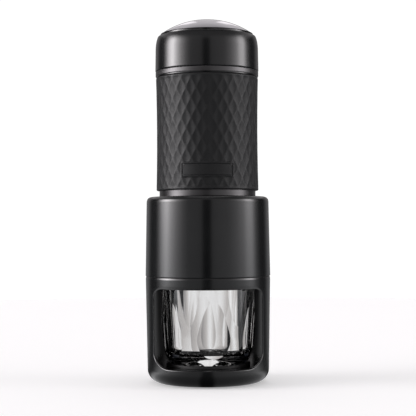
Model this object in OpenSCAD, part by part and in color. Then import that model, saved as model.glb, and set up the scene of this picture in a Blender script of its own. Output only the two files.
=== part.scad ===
// Handheld manual espresso maker: a cup holder with a cut glass, a brewing
// collar, a water tank in a rubber grip and a spring-return hand pump, stacked
// on one vertical axis. Z = 0 is the table; the windows face -Y and +Y.

/* [Water tank] */
// Outer radius of the tank, which the parts around and above it follow
tank_r = 27.8; // [26:0.1:31]
// Wall thickness of the tank
tank_wall = 1.8; // [1.2:0.1:2.4]
// Height of the shower space below the tank's floor
tank_skirt_h = 6; // [5.2:0.1:10]
// Thickness of the tank's floor
tank_floor_t = 3; // [2.4:0.1:5]
// Thickness of the ring at the tank's mouth
tank_mouth_t = 3.5; // [2.6:0.1:4.4]
// Height of the ring at the tank's mouth
tank_mouth_h = 8; // [7:0.1:14]
// How deep the tank sits below the collar's top
tank_sink = 7.8; // [4:0.1:9]
// Thickness of the ring seal on the mouth
mouth_seal_t = 1.2; // [0.8:0.1:2]
// Thickness of the group gasket
gasket_t = 2.4; // [1.6:0.1:4]

/* [Basket and shower] */
// Outer radius of the coffee basket
basket_r = 22.9; // [18:0.1:24]
// Wall thickness of the coffee basket
basket_wall = 0.8; // [0.5:0.1:1.2]
// Height of the coffee basket
basket_h = 22; // [14:0.2:34]
// Thickness of the basket's flange
basket_flange_t = 1; // [0.6:0.1:2]
// Gap between the basket and the bowl around it
basket_gap = 0.5; // [0.3:0.1:1]
// Radius of the fine holes in the basket and the shower screen
fine_hole_r = 0.8; // [0.4:0.1:1.2]
// Distance between the rings of fine holes
fine_hole_ring = 5; // [4:0.1:7]
// Thickness of the shower screen
shower_t = 0.8; // [0.5:0.1:1.4]

/* [Brewing bowl] */
// Wall thickness of the bowl's mouth
bowl_mouth_wall = 2.5; // [2.3:0.1:3.2]
// Wall thickness of the bowl below its mouth
bowl_wall = 2; // [1.2:0.1:2.4]
// Width of the flange that carries the bowl
bowl_flange_w = 3.9; // [3.7:0.1:6]
// Thickness of that flange
bowl_flange_t = 3; // [2:0.1:4]
// Number of the bowl's screws
bowl_screws_n = 4; // [3:1:8]
// Gap between the basket's bottom and the bowl's floor
bowl_floor_gap = 1.6; // [1:0.1:4]
// Height of the funnel below the bowl
funnel_h = 4; // [3:0.1:8]
// Inner radius of the spout
spout_r = 4; // [3:0.1:6]
// Length of the spout below the funnel
spout_h = 5.6; // [4:0.1:9]
// Height of the nozzle's visible flange
nozzle_flange_h = 1.6; // [1:0.1:3]
// Radius of the hole in the nozzle
nozzle_hole_r = 1.1; // [0.6:0.1:1.6]

/* [Collar] */
// Thickness of the collar's wall at its lower edge
collar_wall = 3; // [2.6:0.1:5]
// How much narrower the collar is below its shoulder
collar_taper = 0.9; // [0:0.1:1.4]
// Thickness of the collar's top
collar_deck_t = 3; // [2.6:0.1:6]
// Radius of the rounded shoulder
collar_shoulder_r = 2.2; // [0.6:0.1:2.5]
// Thickness of the rubber ring in the seam
seam_seal_t = 0.5; // [0.3:0.1:1]

/* [Cup holder] */
// Thickness of the cup holder's wall at its top edge
holder_wall = 3.75; // [3.1:0.05:6]
// How much narrower the holder is above its foot
holder_taper = 0.95; // [0:0.05:2]
// Height of the floor that the cup pad lies on
holder_floor_z = 10.4; // [9:0.1:16]
// Thickness of that floor
holder_floor_t = 2.4; // [1.4:0.1:3]
// Radius of the rounding between the wall and the foot
holder_fillet_r = 8; // [3:0.5:9]
// Gap between the table and the holder's lower edge
holder_lift = 0.5; // [0.2:0.1:0.8]
// Height of the window's sill above the floor
window_sill = 0.4; // [0.2:0.1:6]
// Height of the closed band above the window
window_band = 7.1; // [3:0.1:14]
// How far the front window's sides lie inside the holder's bore
window_inset = 1.9; // [1:0.1:12]
// How far the back window's sides lie inside the holder's bore
back_window_inset = 9.8; // [2:0.1:16]
// Radius of the window's lower corners
window_low_corner_r = 9; // [2:0.5:14]
// Radius of the window's upper corners
window_high_corner_r = 4.5; // [2:0.5:12]

/* [Base] */
// How far the base plate's edge lies inside the foot's flat rim
base_plate_inset = 2.1; // [1:0.1:5]
// Thickness of the base plate
base_plate_t = 2; // [1.7:0.1:2.6]
// Height of the plate's underside above the table
base_plate_z = 0.9; // [0.5:0.1:1.4]
// Distance from the plate's edge to the rubber foot ring
foot_ring_inset = 1.8; // [1:0.1:4]
// Width of the rubber foot ring
foot_ring_w = 3.2; // [1.6:0.1:4]
// Depth of the groove that the foot ring sits in
foot_groove_depth = 1; // [0.6:0.1:1.2]
// Number of screws that hold the base plate
base_screws_n = 4; // [3:1:6]
// Radius of the circle that these screws lie on
base_screw_circle_r = 16; // [10:0.5:17]

/* [Glass cup] */
// Outer radius of the glass
cup_r = 28.4; // [24:0.1:31]
// Thickness of the glass wall at the rim
cup_wall = 4.2; // [3.4:0.1:6]
// Height of the glass
cup_h = 51.2; // [40:0.2:80]
// Thickness of the glass's bottom
cup_bottom_t = 6.8; // [4:0.2:12]
// How much narrower the glass is at its foot
cup_foot_inset = 6; // [4:0.1:9]
// Number of tall cuts round the glass
cup_cuts_n = 6; // [5:1:14]
// Turn of the cuts away from the side that faces the right
cup_turn = 37; // [0:1:60]
// Depth of the cuts that open towards the foot
cup_low_cut = 2.9; // [0.8:0.1:3.2]
// Depth of the cuts that open towards the rim
cup_high_cut = 0.7; // [0.4:0.1:1.8]
// Space between the glass's rim and the holder's top edge
cup_headroom = 2.2; // [1:0.1:8]
// Thickness of the rubber pad below the glass
cup_pad_t = 0.8; // [0.5:0.1:2]
// Height of the pad's rim above the pad
cup_pad_rim_h = 1; // [0.4:0.1:3]

/* [Grip and trim] */
// Thickness of the grip at its two ends
grip_end_t = 3.05; // [1.6:0.05:5]
// How much thinner the grip is at half its height
grip_waist = 0.45; // [0:0.05:1]
// Width along the surface of the bare badge field
badge_w = 31; // [20:0.5:40]
// Height of the bare badge field
badge_h = 7.4; // [5:0.1:12]
// Height of the badge field's middle above the grip's lower end
badge_z = 11.6; // [9:0.1:30]
// Width of the outline round the badge field
badge_line = 0.6; // [0.4:0.1:1]
// Visible height of the steel neck band
neck_h = 3.7; // [1:0.1:10]
// How far the chrome ring stands out past the grip
trim_proud = 0.4; // [0:0.1:1]
// Width of the chrome ring
trim_w = 1.2; // [0.8:0.1:1.6]
// Height of the chrome ring
trim_h = 3.1; // [1.6:0.1:6]

/* [Pump] */
// Travel of the pump head
stroke = 26; // [14:0.5:40]
// Thickness of the lip that carries the chrome ring
cap_lip_t = 0.5; // [0.3:0.1:1]
// Radius of the pump cylinder's bore
cylinder_bore_r = 8; // [7.6:0.1:9]
// Wall thickness of the pump cylinder
cylinder_wall = 2.5; // [1.6:0.1:3]
// Width of the cylinder's flange
cylinder_flange_w = 8.5; // [7.6:0.1:8.9]
// Thickness of the cylinder's flange
cylinder_flange_t = 3; // [2:0.1:5]
// Number of the cylinder's screws
cylinder_screws_n = 3; // [3:1:6]
// Height of the valve block below the cylinder
valve_block_h = 8; // [7.6:0.1:12]
// Length of the outlet nozzle below the valve block
outlet_h = 7.5; // [7:0.1:12]
// Radius of the outlet valve's ball
ball_r = 2.6; // [2.2:0.1:2.8]
// Thickness of the inlet valve's rubber disc
flap_t = 0.7; // [0.4:0.1:1]
// Height that the inlet valve's disc can lift
flap_lift = 0.9; // [0.5:0.1:1.5]
// Height of the compressed return spring
spring_h = 11.2; // [10:0.1:16]
// Number of turns of the return spring
spring_turns = 6; // [3:1:6]
// Radius of the return spring's wire
spring_wire_r = 0.5; // [0.3:0.05:0.5]

/* [Plunger and head] */
// Wall of the bush between the rod and the cylinder's bore
bush_wall = 1.9; // [1.4:0.1:3]
// Height of the piston
piston_h = 8.8; // [7:0.1:14]
// How much wider the head is than the chrome ring
head_proud = 0.15; // [0:0.05:1]
// How much narrower the head is below its rounding
head_taper = 0.2; // [0:0.05:1]
// Thickness of the head's wall at its lower edge
head_wall = 2.45; // [1.8:0.05:3.2]
// Height of the head up to the dome's edge
head_h = 22.4; // [21:0.1:34]
// Height of the rounding below the dome's edge
head_round_h = 10; // [2:0.1:11]
// Width of the rounding below the dome's edge
head_round_w = 3.05; // [0.5:0.05:4]
// Thickness of the head's top web
head_web_t = 2.5; // [1.8:0.1:4]
// Depth of the recess above the web
head_recess_h = 4.6; // [3.4:0.1:6]
// Gap between the head and the chrome ring
head_gap = 0.3; // [0.2:0.05:0.8]
// Height of the chrome dome above its edge
dome_h = 9; // [4:0.1:16]
// Thickness of the chrome dome
dome_t = 1.2; // [0.6:0.1:2]

/* [Bayonets] */
// Number of lugs on each bayonet
lugs_n = 3; // [2:1:4]
// Angle that one lug spans
lug_angle = 15; // [8:1:20]
// Height of a lug
lug_h = 1.9; // [1.2:0.1:2.2]
// How far a lug stands out from its wall
lug_depth = 1.5; // [1:0.1:1.8]
// Turn that locks a bayonet, in degrees
lock_turn = 26; // [15:1:30]

/* [Clearances] */
// Radial gap of a sliding or turning fit
slide_gap = 0.05; // [0.03:0.01:0.08]
// Radial gap of a loose fit between stacked parts
loose_gap = 0.3; // [0.2:0.05:0.4]
// Gap round a bayonet lug in its slot
lug_gap = 0.3; // [0.2:0.05:0.4]

/* [Hidden] */
$fn = 96;
eps = 0.01;
weld = 0.4; // how far a lug or a boss reaches into its wall

// Radii, from the tank outwards
skin_r = tank_r + slide_gap;
grip_end_r = skin_r + grip_end_t;
grip_waist_r = grip_end_r - grip_waist;
tank_lug_r = tank_r + lug_depth;
collar_hole_r = tank_lug_r + loose_gap;
neck_r = collar_hole_r - loose_gap - slide_gap;
bowl_mouth_r = tank_r + loose_gap;
bowl_mouth_outer_r = bowl_mouth_r + bowl_mouth_wall;
bowl_flange_r = bowl_mouth_outer_r + bowl_flange_w;
bowl_screw_circle_r = bowl_mouth_outer_r + bowl_flange_w / 2;
collar_bore_r = bowl_flange_r + 0.5;
collar_low_r = collar_bore_r + collar_wall;
collar_top_r = collar_low_r - collar_taper;
holder_top_r = collar_low_r - slide_gap;
holder_foot_r = holder_top_r - holder_taper;
holder_bore_r = holder_top_r - holder_wall;
lip_r = collar_bore_r - loose_gap;
lip_wall = 2;
lip_inner_r = lip_r - lip_wall;
foot_flat_r = holder_foot_r - holder_fillet_r;
base_plate_r = foot_flat_r - base_plate_inset;
foot_ring_outer_r = base_plate_r - foot_ring_inset;
foot_ring_inner_r = foot_ring_outer_r - foot_ring_w;

// Radii of the brewing parts
basket_flange_r = bowl_mouth_r - 0.5;
basket_bore_r = basket_r - basket_wall;
bowl_r = basket_r + basket_gap;
gasket_inner_r = basket_bore_r - 1.1;
shower_r = gasket_inner_r + 1.2;
shower_recess_r = shower_r + 0.1;
shower_space_r = shower_recess_r - 1;
fine_rings = floor((basket_bore_r - 4) / fine_hole_ring);

// Glass cup: its heel is a quarter of a squeezed ellipse
cup_foot_r = cup_r - cup_foot_inset;
cup_heel_h = 20;
function cup_heel_r(a) = cup_foot_r + cup_foot_inset * pow(sin(a), 1.6);
function cup_heel_rise(a) = cup_heel_h * (1 - cos(a));

// Heights, from the table up
plate_seat_z = base_plate_z + base_plate_t;
floor_under_z = holder_floor_z - holder_floor_t;
cup_z = holder_floor_z + cup_pad_t;
cup_top_z = cup_z + cup_h;
holder_h = cup_top_z + cup_headroom;
window_bottom_z = holder_floor_z + window_sill;
window_top_z = holder_h - window_band;
lip_h = 6;
lip_bottom_z = holder_h - 0.8 * window_band;
collar_z = holder_h + seam_seal_t;
nozzle_z = holder_h + 0.2;
spout_z = nozzle_z + nozzle_flange_h;
funnel_z = spout_z + spout_h;
bowl_floor_z = funnel_z + funnel_h;
basket_z = bowl_floor_z + bowl_floor_gap;
gasket_z = basket_z + basket_h;
ledge_z = gasket_z - basket_flange_t;
tank_z = gasket_z + gasket_t;
deck_z = tank_z + tank_sink;
collar_top_z = deck_z + collar_deck_t;
grip_z = collar_top_z + neck_h;
tank_floor_z = tank_z + tank_skirt_h;
tank_floor_top_z = tank_floor_z + tank_floor_t;

// Valves and pump, from the tank's floor up
seat_r = 1.8;
ball_bore_r = ball_r + 0.7;
plug_r = ball_bore_r + 0.7;
plug_h = 3;
outlet_r = plug_r + 1.9;
seal_groove_z = 2.2;
seal_wire_r = 0.5;
socket_r = outlet_r + 0.2;
socket_outer_r = socket_r + 2.4;
socket_z = tank_floor_z + tank_floor_t / 2;
outlet_z = socket_z + 0.5;
block_z = outlet_z + outlet_h;
socket_top_z = block_z - 1.5;
cylinder_z = block_z + valve_block_h;
cylinder_r = cylinder_bore_r + cylinder_wall;
block_spigot_h = 4;
chamber_z = cylinder_z + block_spigot_h;
seat_z = cylinder_z - 0.2;
ball_z = seat_z - sqrt(ball_r * ball_r - seat_r * seat_r) - 0.02;
outlet_spring_r = 2.1;
outlet_spring_wire_r = 0.25;
outlet_spring_turns = 5;
spring_r = cylinder_bore_r - 0.6 - spring_wire_r;
coil_per_turn = 12;
flap_r = (spring_r - spring_wire_r) * cos(180 / coil_per_turn) - 0.2;
port_r = (flap_r - ball_bore_r) / 3.5;
port_circle_r = ball_bore_r + 2 * port_r;
guide_tube_r = 2.2;
piston_z = chamber_z + spring_h;
rod_z = piston_z + piston_h;
bush_stop_h = 5.2;
stroke_spare = 4.5;
cap_z = rod_z + stroke + stroke_spare + bush_stop_h;
tank_top_z = cap_z - mouth_seal_t;
grip_top_z = cap_z - 0.2;
piston_r = cylinder_bore_r - slide_gap;
piston_groove_depth = 1.4;
piston_groove_h = 2.4;
piston_groove_z = rod_z - piston_h / 2 - piston_groove_h / 2;
cylinder_flange_r = cylinder_r + cylinder_flange_w;
cylinder_screw_circle_r = cylinder_r + 5;
rod_r = cylinder_bore_r - 2 * slide_gap - bush_wall;
head_screw_r = rod_r / 3;
head_screw_reach = 1.5 * rod_r;
head_screw_head_h = 1.3 * head_screw_r;
head_screw_hole_r = 1.3 * head_screw_r;
bush_step_r = cylinder_bore_r + 0.95;
bush_flange_r = bush_step_r + 2;
bush_flange_h = 1.2;

// Pump cap and head
trim_r = grip_end_r + trim_proud;
trim_inner_r = trim_r - trim_w;
trim_z = cap_z + cap_lip_t;
cap_top_z = trim_z + trim_h;
tank_mouth_r = tank_r - tank_mouth_t;
plug_outer_r = tank_mouth_r - loose_gap;
plug_inner_r = plug_outer_r - 2;
plug_skirt_h = 9.2;
plug_lug_r = plug_outer_r + lug_depth;
plug_lug_z = cap_z - 6;
head_low_r = trim_r + head_proud;
head_top_r = head_low_r - head_taper;
head_bore_r = head_low_r - head_wall;
guide_outer_r = head_bore_r - loose_gap;
guide_inner_r = guide_outer_r - 1.8;
guide_h = 7.5;
head_lug_r = guide_outer_r - lug_depth;
head_z = cap_top_z + head_gap;
head_lug_z = head_z + 2;
head_rim_z = head_z + head_h;
web_top_z = head_rim_z - head_recess_h;
web_z = web_top_z - head_web_t;
rod_top_z = web_z - 4.5;
hub_z = cap_top_z + bush_flange_h + 1.4;
hub_r = rod_r + 3;
hub_flange_r = hub_r + 7;
hub_flange_h = 2.5;
hub_screw_circle_r = hub_r + 3.5;
dome_r = head_top_r - head_round_w;
dome_skirt_r = dome_r - 1.4;
dome_top_z = head_rim_z + dome_h;
dome_sphere_r = (dome_r * dome_r + dome_h * dome_h) / (2 * dome_h);

// Bayonet heights: the holder's, and the tank's
holder_lug_r = lip_r - lug_depth;
holder_lug_z = collar_z + 1.5;
tank_lug_z = tank_z + 1.2;

function arc(cx, cy, r, a0, a1, n = 10) =
    [for (i = [0 : n]) let (a = a0 + (a1 - a0) * i / n) [cx + r * cos(a), cy + r * sin(a)]];

module ring(r_in, r_out, z, h) {
    translate([0, 0, z]) difference() {
        cylinder(r = r_out, h = h);
        translate([0, 0, -1]) cylinder(r = r_in, h = h + 2);
    }
}

module ring_sector(r_in, r_out, z, h, start, span) {
    rotate([0, 0, start]) rotate_extrude(angle = span)
        translate([r_in, z]) square([r_out - r_in, h]);
}

module around(n, circle_r, first = 0) {
    for (k = [0 : n - 1]) rotate([0, 0, first + k * 360 / n]) translate([circle_r, 0, 0]) children();
}

// Lugs on a bayonet: the middle of the first one lies at 0 degrees
module lugs(r_in, r_out, z) {
    for (k = [0 : lugs_n - 1])
        ring_sector(r_in, r_out, z, lug_h, k * 360 / lugs_n - lug_angle / 2, lug_angle);
}

// L-shaped slots for such lugs: an entry that opens upwards, and a run that
// the lug turns along
module slots(r_in, r_out, z, open_z) {
    margin = 1.5;
    low_z = z - lug_gap;
    for (k = [0 : lugs_n - 1]) {
        start = k * 360 / lugs_n - lug_angle / 2 - margin;
        ring_sector(r_in, r_out, low_z, open_z - low_z, start, lug_angle + 2 * margin);
        ring_sector(r_in, r_out, low_z, lug_h + 2 * lug_gap, start, lug_angle + 2 * margin + lock_turn);
    }
}

// A screw that points up from z, with its head below z and a hexagon socket
module screw_up(z, shank_r, length, head_r, head_h) {
    difference() {
        union() {
            translate([0, 0, z - eps]) cylinder(r = shank_r, h = length);
            translate([0, 0, z - head_h]) cylinder(r = head_r, h = head_h);
        }
        translate([0, 0, z - head_h - eps]) cylinder(r = head_r * 0.5, h = head_h * 0.55, $fn = 6);
    }
}

// Rings of fine holes: 6, 12, 18 ... of them at equal steps of the radius
module fine_holes(z, h) {
    for (k = [1 : fine_rings], j = [0 : 6 * k - 1])
        rotate([0, 0, j * 60 / k]) translate([k * fine_hole_ring, 0, z]) cylinder(r = fine_hole_r, h = h);
}

// Least gap between the turns of a coil, measured on the points of its middle line
function coil_gap(line, per_turn, wire_r) =
    min([for (i = [0 : len(line) - 1 - per_turn / 2], j = [i + per_turn / 2 : len(line) - 1])
        norm(line[i] - line[j])]) - 2 * wire_r;

// One unbroken round wire wound into a coil between two heights
module coil(mean_r, wire_r, z0, z1, turns) {
    sides = 6;
    per_turn = coil_per_turn;
    rings = turns * per_turn;
    rise = z1 - z0 - 2 * wire_r;
    line = [for (i = [0 : rings]) let (a = 360 * i / per_turn)
        [mean_r * cos(a), mean_r * sin(a), z0 + wire_r + rise * i / rings]];
    points = [for (i = [0 : rings], j = [0 : sides - 1])
        let (a = 360 * i / per_turn, b = 360 * j / sides, out = wire_r * cos(b))
        line[i] + [out * cos(a), out * sin(a), wire_r * sin(b)]];
    walls = [for (i = [0 : rings - 1], j = [0 : sides - 1])
        let (k = (j + 1) % sides)
        each [[i * sides + j, (i + 1) * sides + j, (i + 1) * sides + k],
            [i * sides + j, (i + 1) * sides + k, i * sides + k]]];
    start_cap = [for (j = [1 : sides - 2]) [0, j, j + 1]];
    end_cap = [for (j = [1 : sides - 2]) [rings * sides, rings * sides + j + 1, rings * sides + j]];
    echo(least_gap_between_turns = coil_gap(line, per_turn, wire_r));
    polyhedron(points = points, faces = concat(walls, start_cap, end_cap));
}

// ---- Cup holder ----

module holder_solid() {
    seat_bore_r = base_plate_r - 1.1;
    plate_bore_r = base_plate_r + 0.1;
    rotate_extrude() polygon(concat(
        [[0, floor_under_z], [seat_bore_r, floor_under_z], [seat_bore_r, plate_seat_z],
            [plate_bore_r, plate_seat_z], [plate_bore_r, holder_lift]],
        arc(foot_flat_r, holder_lift + holder_fillet_r, holder_fillet_r, -90, 0),
        [[holder_top_r, holder_h - 0.4], [holder_top_r - 0.4, holder_h], [lip_r, holder_h],
            [lip_r, holder_h + lip_h], [lip_inner_r, holder_h + lip_h], [lip_inner_r, lip_bottom_z],
            [holder_bore_r, lip_bottom_z - 0.8], [holder_bore_r, holder_floor_z], [0, holder_floor_z]]));
}

// A window through the wall: turn is 0 at the front and 180 at the back
module window_cut(inset, turn) {
    x = holder_bore_r - inset;
    low = window_low_corner_r;
    high = window_high_corner_r;
    rotate([0, 0, turn]) rotate([90, 0, 0]) linear_extrude(height = holder_top_r + 1) polygon(concat(
        arc(x - low, window_bottom_z + low, low, -90, 0, 8),
        arc(x - high, window_top_z - high, high, 0, 90, 8),
        arc(high - x, window_top_z - high, high, 90, 180, 8),
        arc(low - x, window_bottom_z + low, low, 180, 270, 8)));
}

module base_screw_bosses() {
    boss_h = floor_under_z - plate_seat_z;
    around(base_screws_n, base_screw_circle_r, 45) difference() {
        translate([0, 0, plate_seat_z]) cylinder(r = 3.2, h = boss_h + weld);
        translate([0, 0, plate_seat_z - eps]) cylinder(r = 1.2 + slide_gap, h = boss_h - 0.5);
    }
}

module cup_holder() {
    color("#17191b") difference() {
        union() {
            holder_solid();
            base_screw_bosses();
        }
        window_cut(window_inset, 0);
        window_cut(back_window_inset, 180);
        slots(lip_inner_r - 1, lip_r + 1, holder_lug_z, holder_h + lip_h + 1);
    }
}

module base_plate() {
    color("#101214") difference() {
        translate([0, 0, base_plate_z]) cylinder(r = base_plate_r, h = base_plate_t);
        ring(foot_ring_inner_r - 0.1, foot_ring_outer_r + 0.1, base_plate_z - 1, foot_groove_depth + 1);
        around(base_screws_n, base_screw_circle_r, 45) {
            translate([0, 0, base_plate_z - 1]) cylinder(r = 1.5, h = base_plate_t + 2);
            translate([0, 0, base_plate_z - 1]) cylinder(r = 2.7, h = 2);
        }
    }
}

module base_screws() {
    color("#9a9da1") around(base_screws_n, base_screw_circle_r, 45)
        screw_up(base_plate_z + 1, 1.2, floor_under_z - base_plate_z - 2.6, 2.4, 0.9);
}

module foot_ring() {
    color("#1b1c1e") ring(foot_ring_inner_r, foot_ring_outer_r, 0, base_plate_z + foot_groove_depth);
}

module cup_pad() {
    rim_in = cup_heel_r(acos(1 - cup_pad_rim_h / cup_heel_h)) + loose_gap;
    rim_out = rim_in + 2;
    color("#1b1c1e") rotate_extrude() polygon([[0, holder_floor_z], [rim_out, holder_floor_z],
        [rim_out, cup_z + cup_pad_rim_h], [rim_in, cup_z + cup_pad_rim_h], [rim_in, cup_z], [0, cup_z]]);
}

module seam_seal() {
    color("#050606") ring(lip_r + 0.1, holder_top_r - 0.65, holder_h, seam_seal_t);
}

// ---- Glass cup ----

// Half-spaces that cut the glass: their planes lean, so each cut runs out in a point
module tall_cuts(foot_depth, rim_depth, low_z, high_z, first) {
    lean = atan((foot_depth - rim_depth) / (high_z - low_z));
    for (k = [0 : cup_cuts_n - 1]) rotate([0, 0, first + k * 360 / cup_cuts_n])
        translate([cup_r - foot_depth, 0, low_z]) rotate([0, lean, 0])
            translate([0, -cup_r, -cup_h]) cube([cup_r, 2 * cup_r, 3 * cup_h]);
}

module glass_cup() {
    low_z = cup_z + cup_bottom_t - 1.8;
    high_z = cup_top_z - cup_foot_inset;
    cut_fade = 0.5;
    bowl_round_r = cup_wall - 0.2;
    rim_in_r = cup_r - cup_wall;
    well_z = cup_z + cup_bottom_t;
    color("#dfe6e8", 0.4) difference() {
        rotate_extrude() polygon(concat(
            [[0, cup_z + 0.4], [cup_foot_r - 2.4, cup_z + 0.4], [cup_foot_r - 2, cup_z]],
            [for (i = [0 : 7]) let (a = i * 90 / 7) [cup_heel_r(a), cup_z + cup_heel_rise(a)]],
            arc(cup_r - 1.4, cup_top_z - 1.4, 1.4, 0, 90, 6),
            arc(rim_in_r + 1.2, cup_top_z - 1.2, 1.2, 90, 180, 6),
            arc(rim_in_r - bowl_round_r - 1.2, well_z + bowl_round_r, bowl_round_r, 0, -90, 6),
            [[0, well_z]]));
        tall_cuts(cup_low_cut, -cut_fade, low_z, high_z, cup_turn);
        tall_cuts(-cut_fade, cup_high_cut, low_z + cup_foot_inset, high_z - 2, cup_turn + 180 / cup_cuts_n);
    }
}

// ---- Brewing collar and bowl ----

module bowl_screw_holes(r, z, h) {
    around(bowl_screws_n, bowl_screw_circle_r, 45) translate([0, 0, z]) cylinder(r = r, h = h);
}

module collar_shell() {
    shoulder_x = collar_top_r - collar_shoulder_r;
    shoulder_z = collar_top_z - collar_shoulder_r;
    color("#17191b") {
        difference() {
            rotate_extrude() polygon(concat(
                [[collar_low_r - 0.4, collar_z], [collar_low_r, collar_z + 0.4]],
                arc(shoulder_x, shoulder_z, collar_shoulder_r, 0, 90),
                [[collar_hole_r, collar_top_z], [collar_hole_r, deck_z], [collar_bore_r, deck_z],
                    [collar_bore_r, collar_z]]));
            bowl_screw_holes(1 + slide_gap, deck_z - 1, 3);
        }
        lugs(holder_lug_r, collar_bore_r + weld, holder_lug_z);
    }
}

module brewing_bowl() {
    outer_r = bowl_r + bowl_wall;
    spout_outer_r = spout_r + bowl_wall;
    flange_z = deck_z - bowl_flange_t;
    color("#26292c") difference() {
        rotate_extrude() polygon([[spout_r, spout_z], [spout_outer_r, spout_z],
            [spout_outer_r, funnel_z - 1], [outer_r, bowl_floor_z - 1], [outer_r, ledge_z - bowl_wall],
            [bowl_mouth_outer_r, ledge_z - bowl_wall], [bowl_mouth_outer_r, flange_z],
            [bowl_flange_r, flange_z], [bowl_flange_r, deck_z], [bowl_mouth_r, deck_z],
            [bowl_mouth_r, ledge_z], [bowl_r, ledge_z], [bowl_r, bowl_floor_z], [spout_r, funnel_z]]);
        slots(bowl_mouth_r - 1, collar_hole_r + 0.1, tank_lug_z, deck_z + 1);
        bowl_screw_holes(1.2, flange_z - 1, bowl_flange_t + 2);
    }
}

module bowl_screws() {
    color("#9a9da1") around(bowl_screws_n, bowl_screw_circle_r, 45)
        screw_up(deck_z - bowl_flange_t, 1, bowl_flange_t + 1.9, 1.7, 1.2);
}

module spout_nozzle() {
    color("#b9bcc0") difference() {
        union() {
            translate([0, 0, nozzle_z]) cylinder(r = spout_r + bowl_wall, h = nozzle_flange_h);
            translate([0, 0, spout_z - eps]) cylinder(r = spout_r - slide_gap, h = spout_h * 0.7);
        }
        translate([0, 0, nozzle_z - 1]) cylinder(r = nozzle_hole_r, h = spout_h + nozzle_flange_h);
        translate([0, 0, spout_z + 1]) cylinder(r = spout_r - 1, h = spout_h);
    }
}

module coffee_basket() {
    color("#b9bcc0") difference() {
        rotate_extrude() polygon([[0, basket_z], [basket_r - 1, basket_z], [basket_r, basket_z + 1],
            [basket_r, ledge_z], [basket_flange_r, ledge_z], [basket_flange_r, gasket_z],
            [basket_bore_r, gasket_z], [basket_bore_r, basket_z + 1], [0, basket_z + 1]]);
        fine_holes(basket_z - 1, 3);
        translate([0, 0, basket_z - 1]) cylinder(r = fine_hole_r, h = 3);
    }
}

module group_gasket() {
    color("#7d3a2c") ring(gasket_inner_r, tank_r - 1, gasket_z, gasket_t);
}

// ---- Water tank ----

module water_tank() {
    bore_r = tank_r - tank_wall;
    mouth_z = tank_top_z - tank_mouth_h;
    recess_z = tank_z + shower_t;
    boss_r = 2.8;
    color("#26292c") {
        difference() {
            rotate_extrude() polygon([[boss_r, tank_floor_z], [boss_r, recess_z], [0, recess_z],
                [0, socket_z], [socket_r, socket_z], [socket_r, socket_top_z],
                [socket_outer_r, socket_top_z], [socket_outer_r, tank_floor_top_z],
                [bore_r, tank_floor_top_z], [bore_r, mouth_z - 2], [tank_mouth_r, mouth_z],
                [tank_mouth_r, tank_top_z], [tank_r, tank_top_z], [tank_r, tank_z],
                [shower_recess_r, tank_z], [shower_recess_r, recess_z], [shower_space_r, recess_z],
                [shower_space_r, tank_floor_z]]);
            translate([0, 0, recess_z - 1]) cylinder(r = 1.4 + slide_gap, h = 5.6);
            around(6, 4.4) translate([0, 0, tank_floor_z - 1]) cylinder(r = 0.9, h = tank_floor_t + 1);
            slots(tank_mouth_r - 1, plug_lug_r + loose_gap, plug_lug_z, tank_top_z + 1);
        }
        lugs(tank_r - weld, tank_lug_r, tank_lug_z);
    }
}

module shower_screen() {
    color("#b9bcc0") difference() {
        translate([0, 0, tank_z]) cylinder(r = shower_r, h = shower_t);
        fine_holes(tank_z - 1, shower_t + 2);
        translate([0, 0, tank_z - 1]) cylinder(r = 1.6, h = shower_t + 2);
    }
}

module shower_screw() {
    color("#b9bcc0") screw_up(tank_z, 1.4, shower_t + 4, 3, 1.4);
}

module neck_band() {
    color("#8f9296") ring(skin_r, neck_r, collar_top_z - 2, neck_h + 2);
}

// ---- Grip ----

module grip_sleeve() {
    edge = 0.5;
    mid_z = (grip_z + grip_top_z) / 2;
    half_h = (grip_top_z - grip_z) / 2 - edge;
    outline = [for (i = [-6 : 6]) let (t = i / 6) [grip_waist_r + grip_waist * t * t, mid_z + t * half_h]];
    low = grip_z + badge_z - badge_h / 2;
    low_t = (low - mid_z) / half_h;
    field_r = grip_waist_r + grip_waist * low_t * low_t + 0.25;
    span = badge_w / field_r * 180 / PI;
    line_span = badge_line / field_r * 180 / PI;
    engraved = field_r - 0.3;
    color("#34373a") difference() {
        union() {
            rotate_extrude() polygon(concat([[skin_r, grip_z], [grip_end_r - edge, grip_z]], outline,
                [[grip_end_r - edge, grip_top_z], [skin_r, grip_top_z]]));
            ring_sector(grip_waist_r - 1, field_r, low - 0.8, badge_h + 1.6, -91 - span / 2, span + 2);
        }
        for (z = [low, low + badge_h - badge_line])
            ring_sector(engraved, field_r + 1, z, badge_line, -90 - span / 2, span);
        for (start = [-90 - span / 2, -90 + span / 2 - line_span])
            ring_sector(engraved, field_r + 1, low, badge_h, start, line_span);
    }
}

module mouth_seal() {
    color("#050606") ring(plug_lug_r + loose_gap, tank_r - 0.2, tank_top_z, mouth_seal_t);
}

// ---- Pump body ----

module cylinder_screw_holes(r, z, h) {
    around(cylinder_screws_n, cylinder_screw_circle_r) translate([0, 0, z]) cylinder(r = r, h = h);
}

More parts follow.
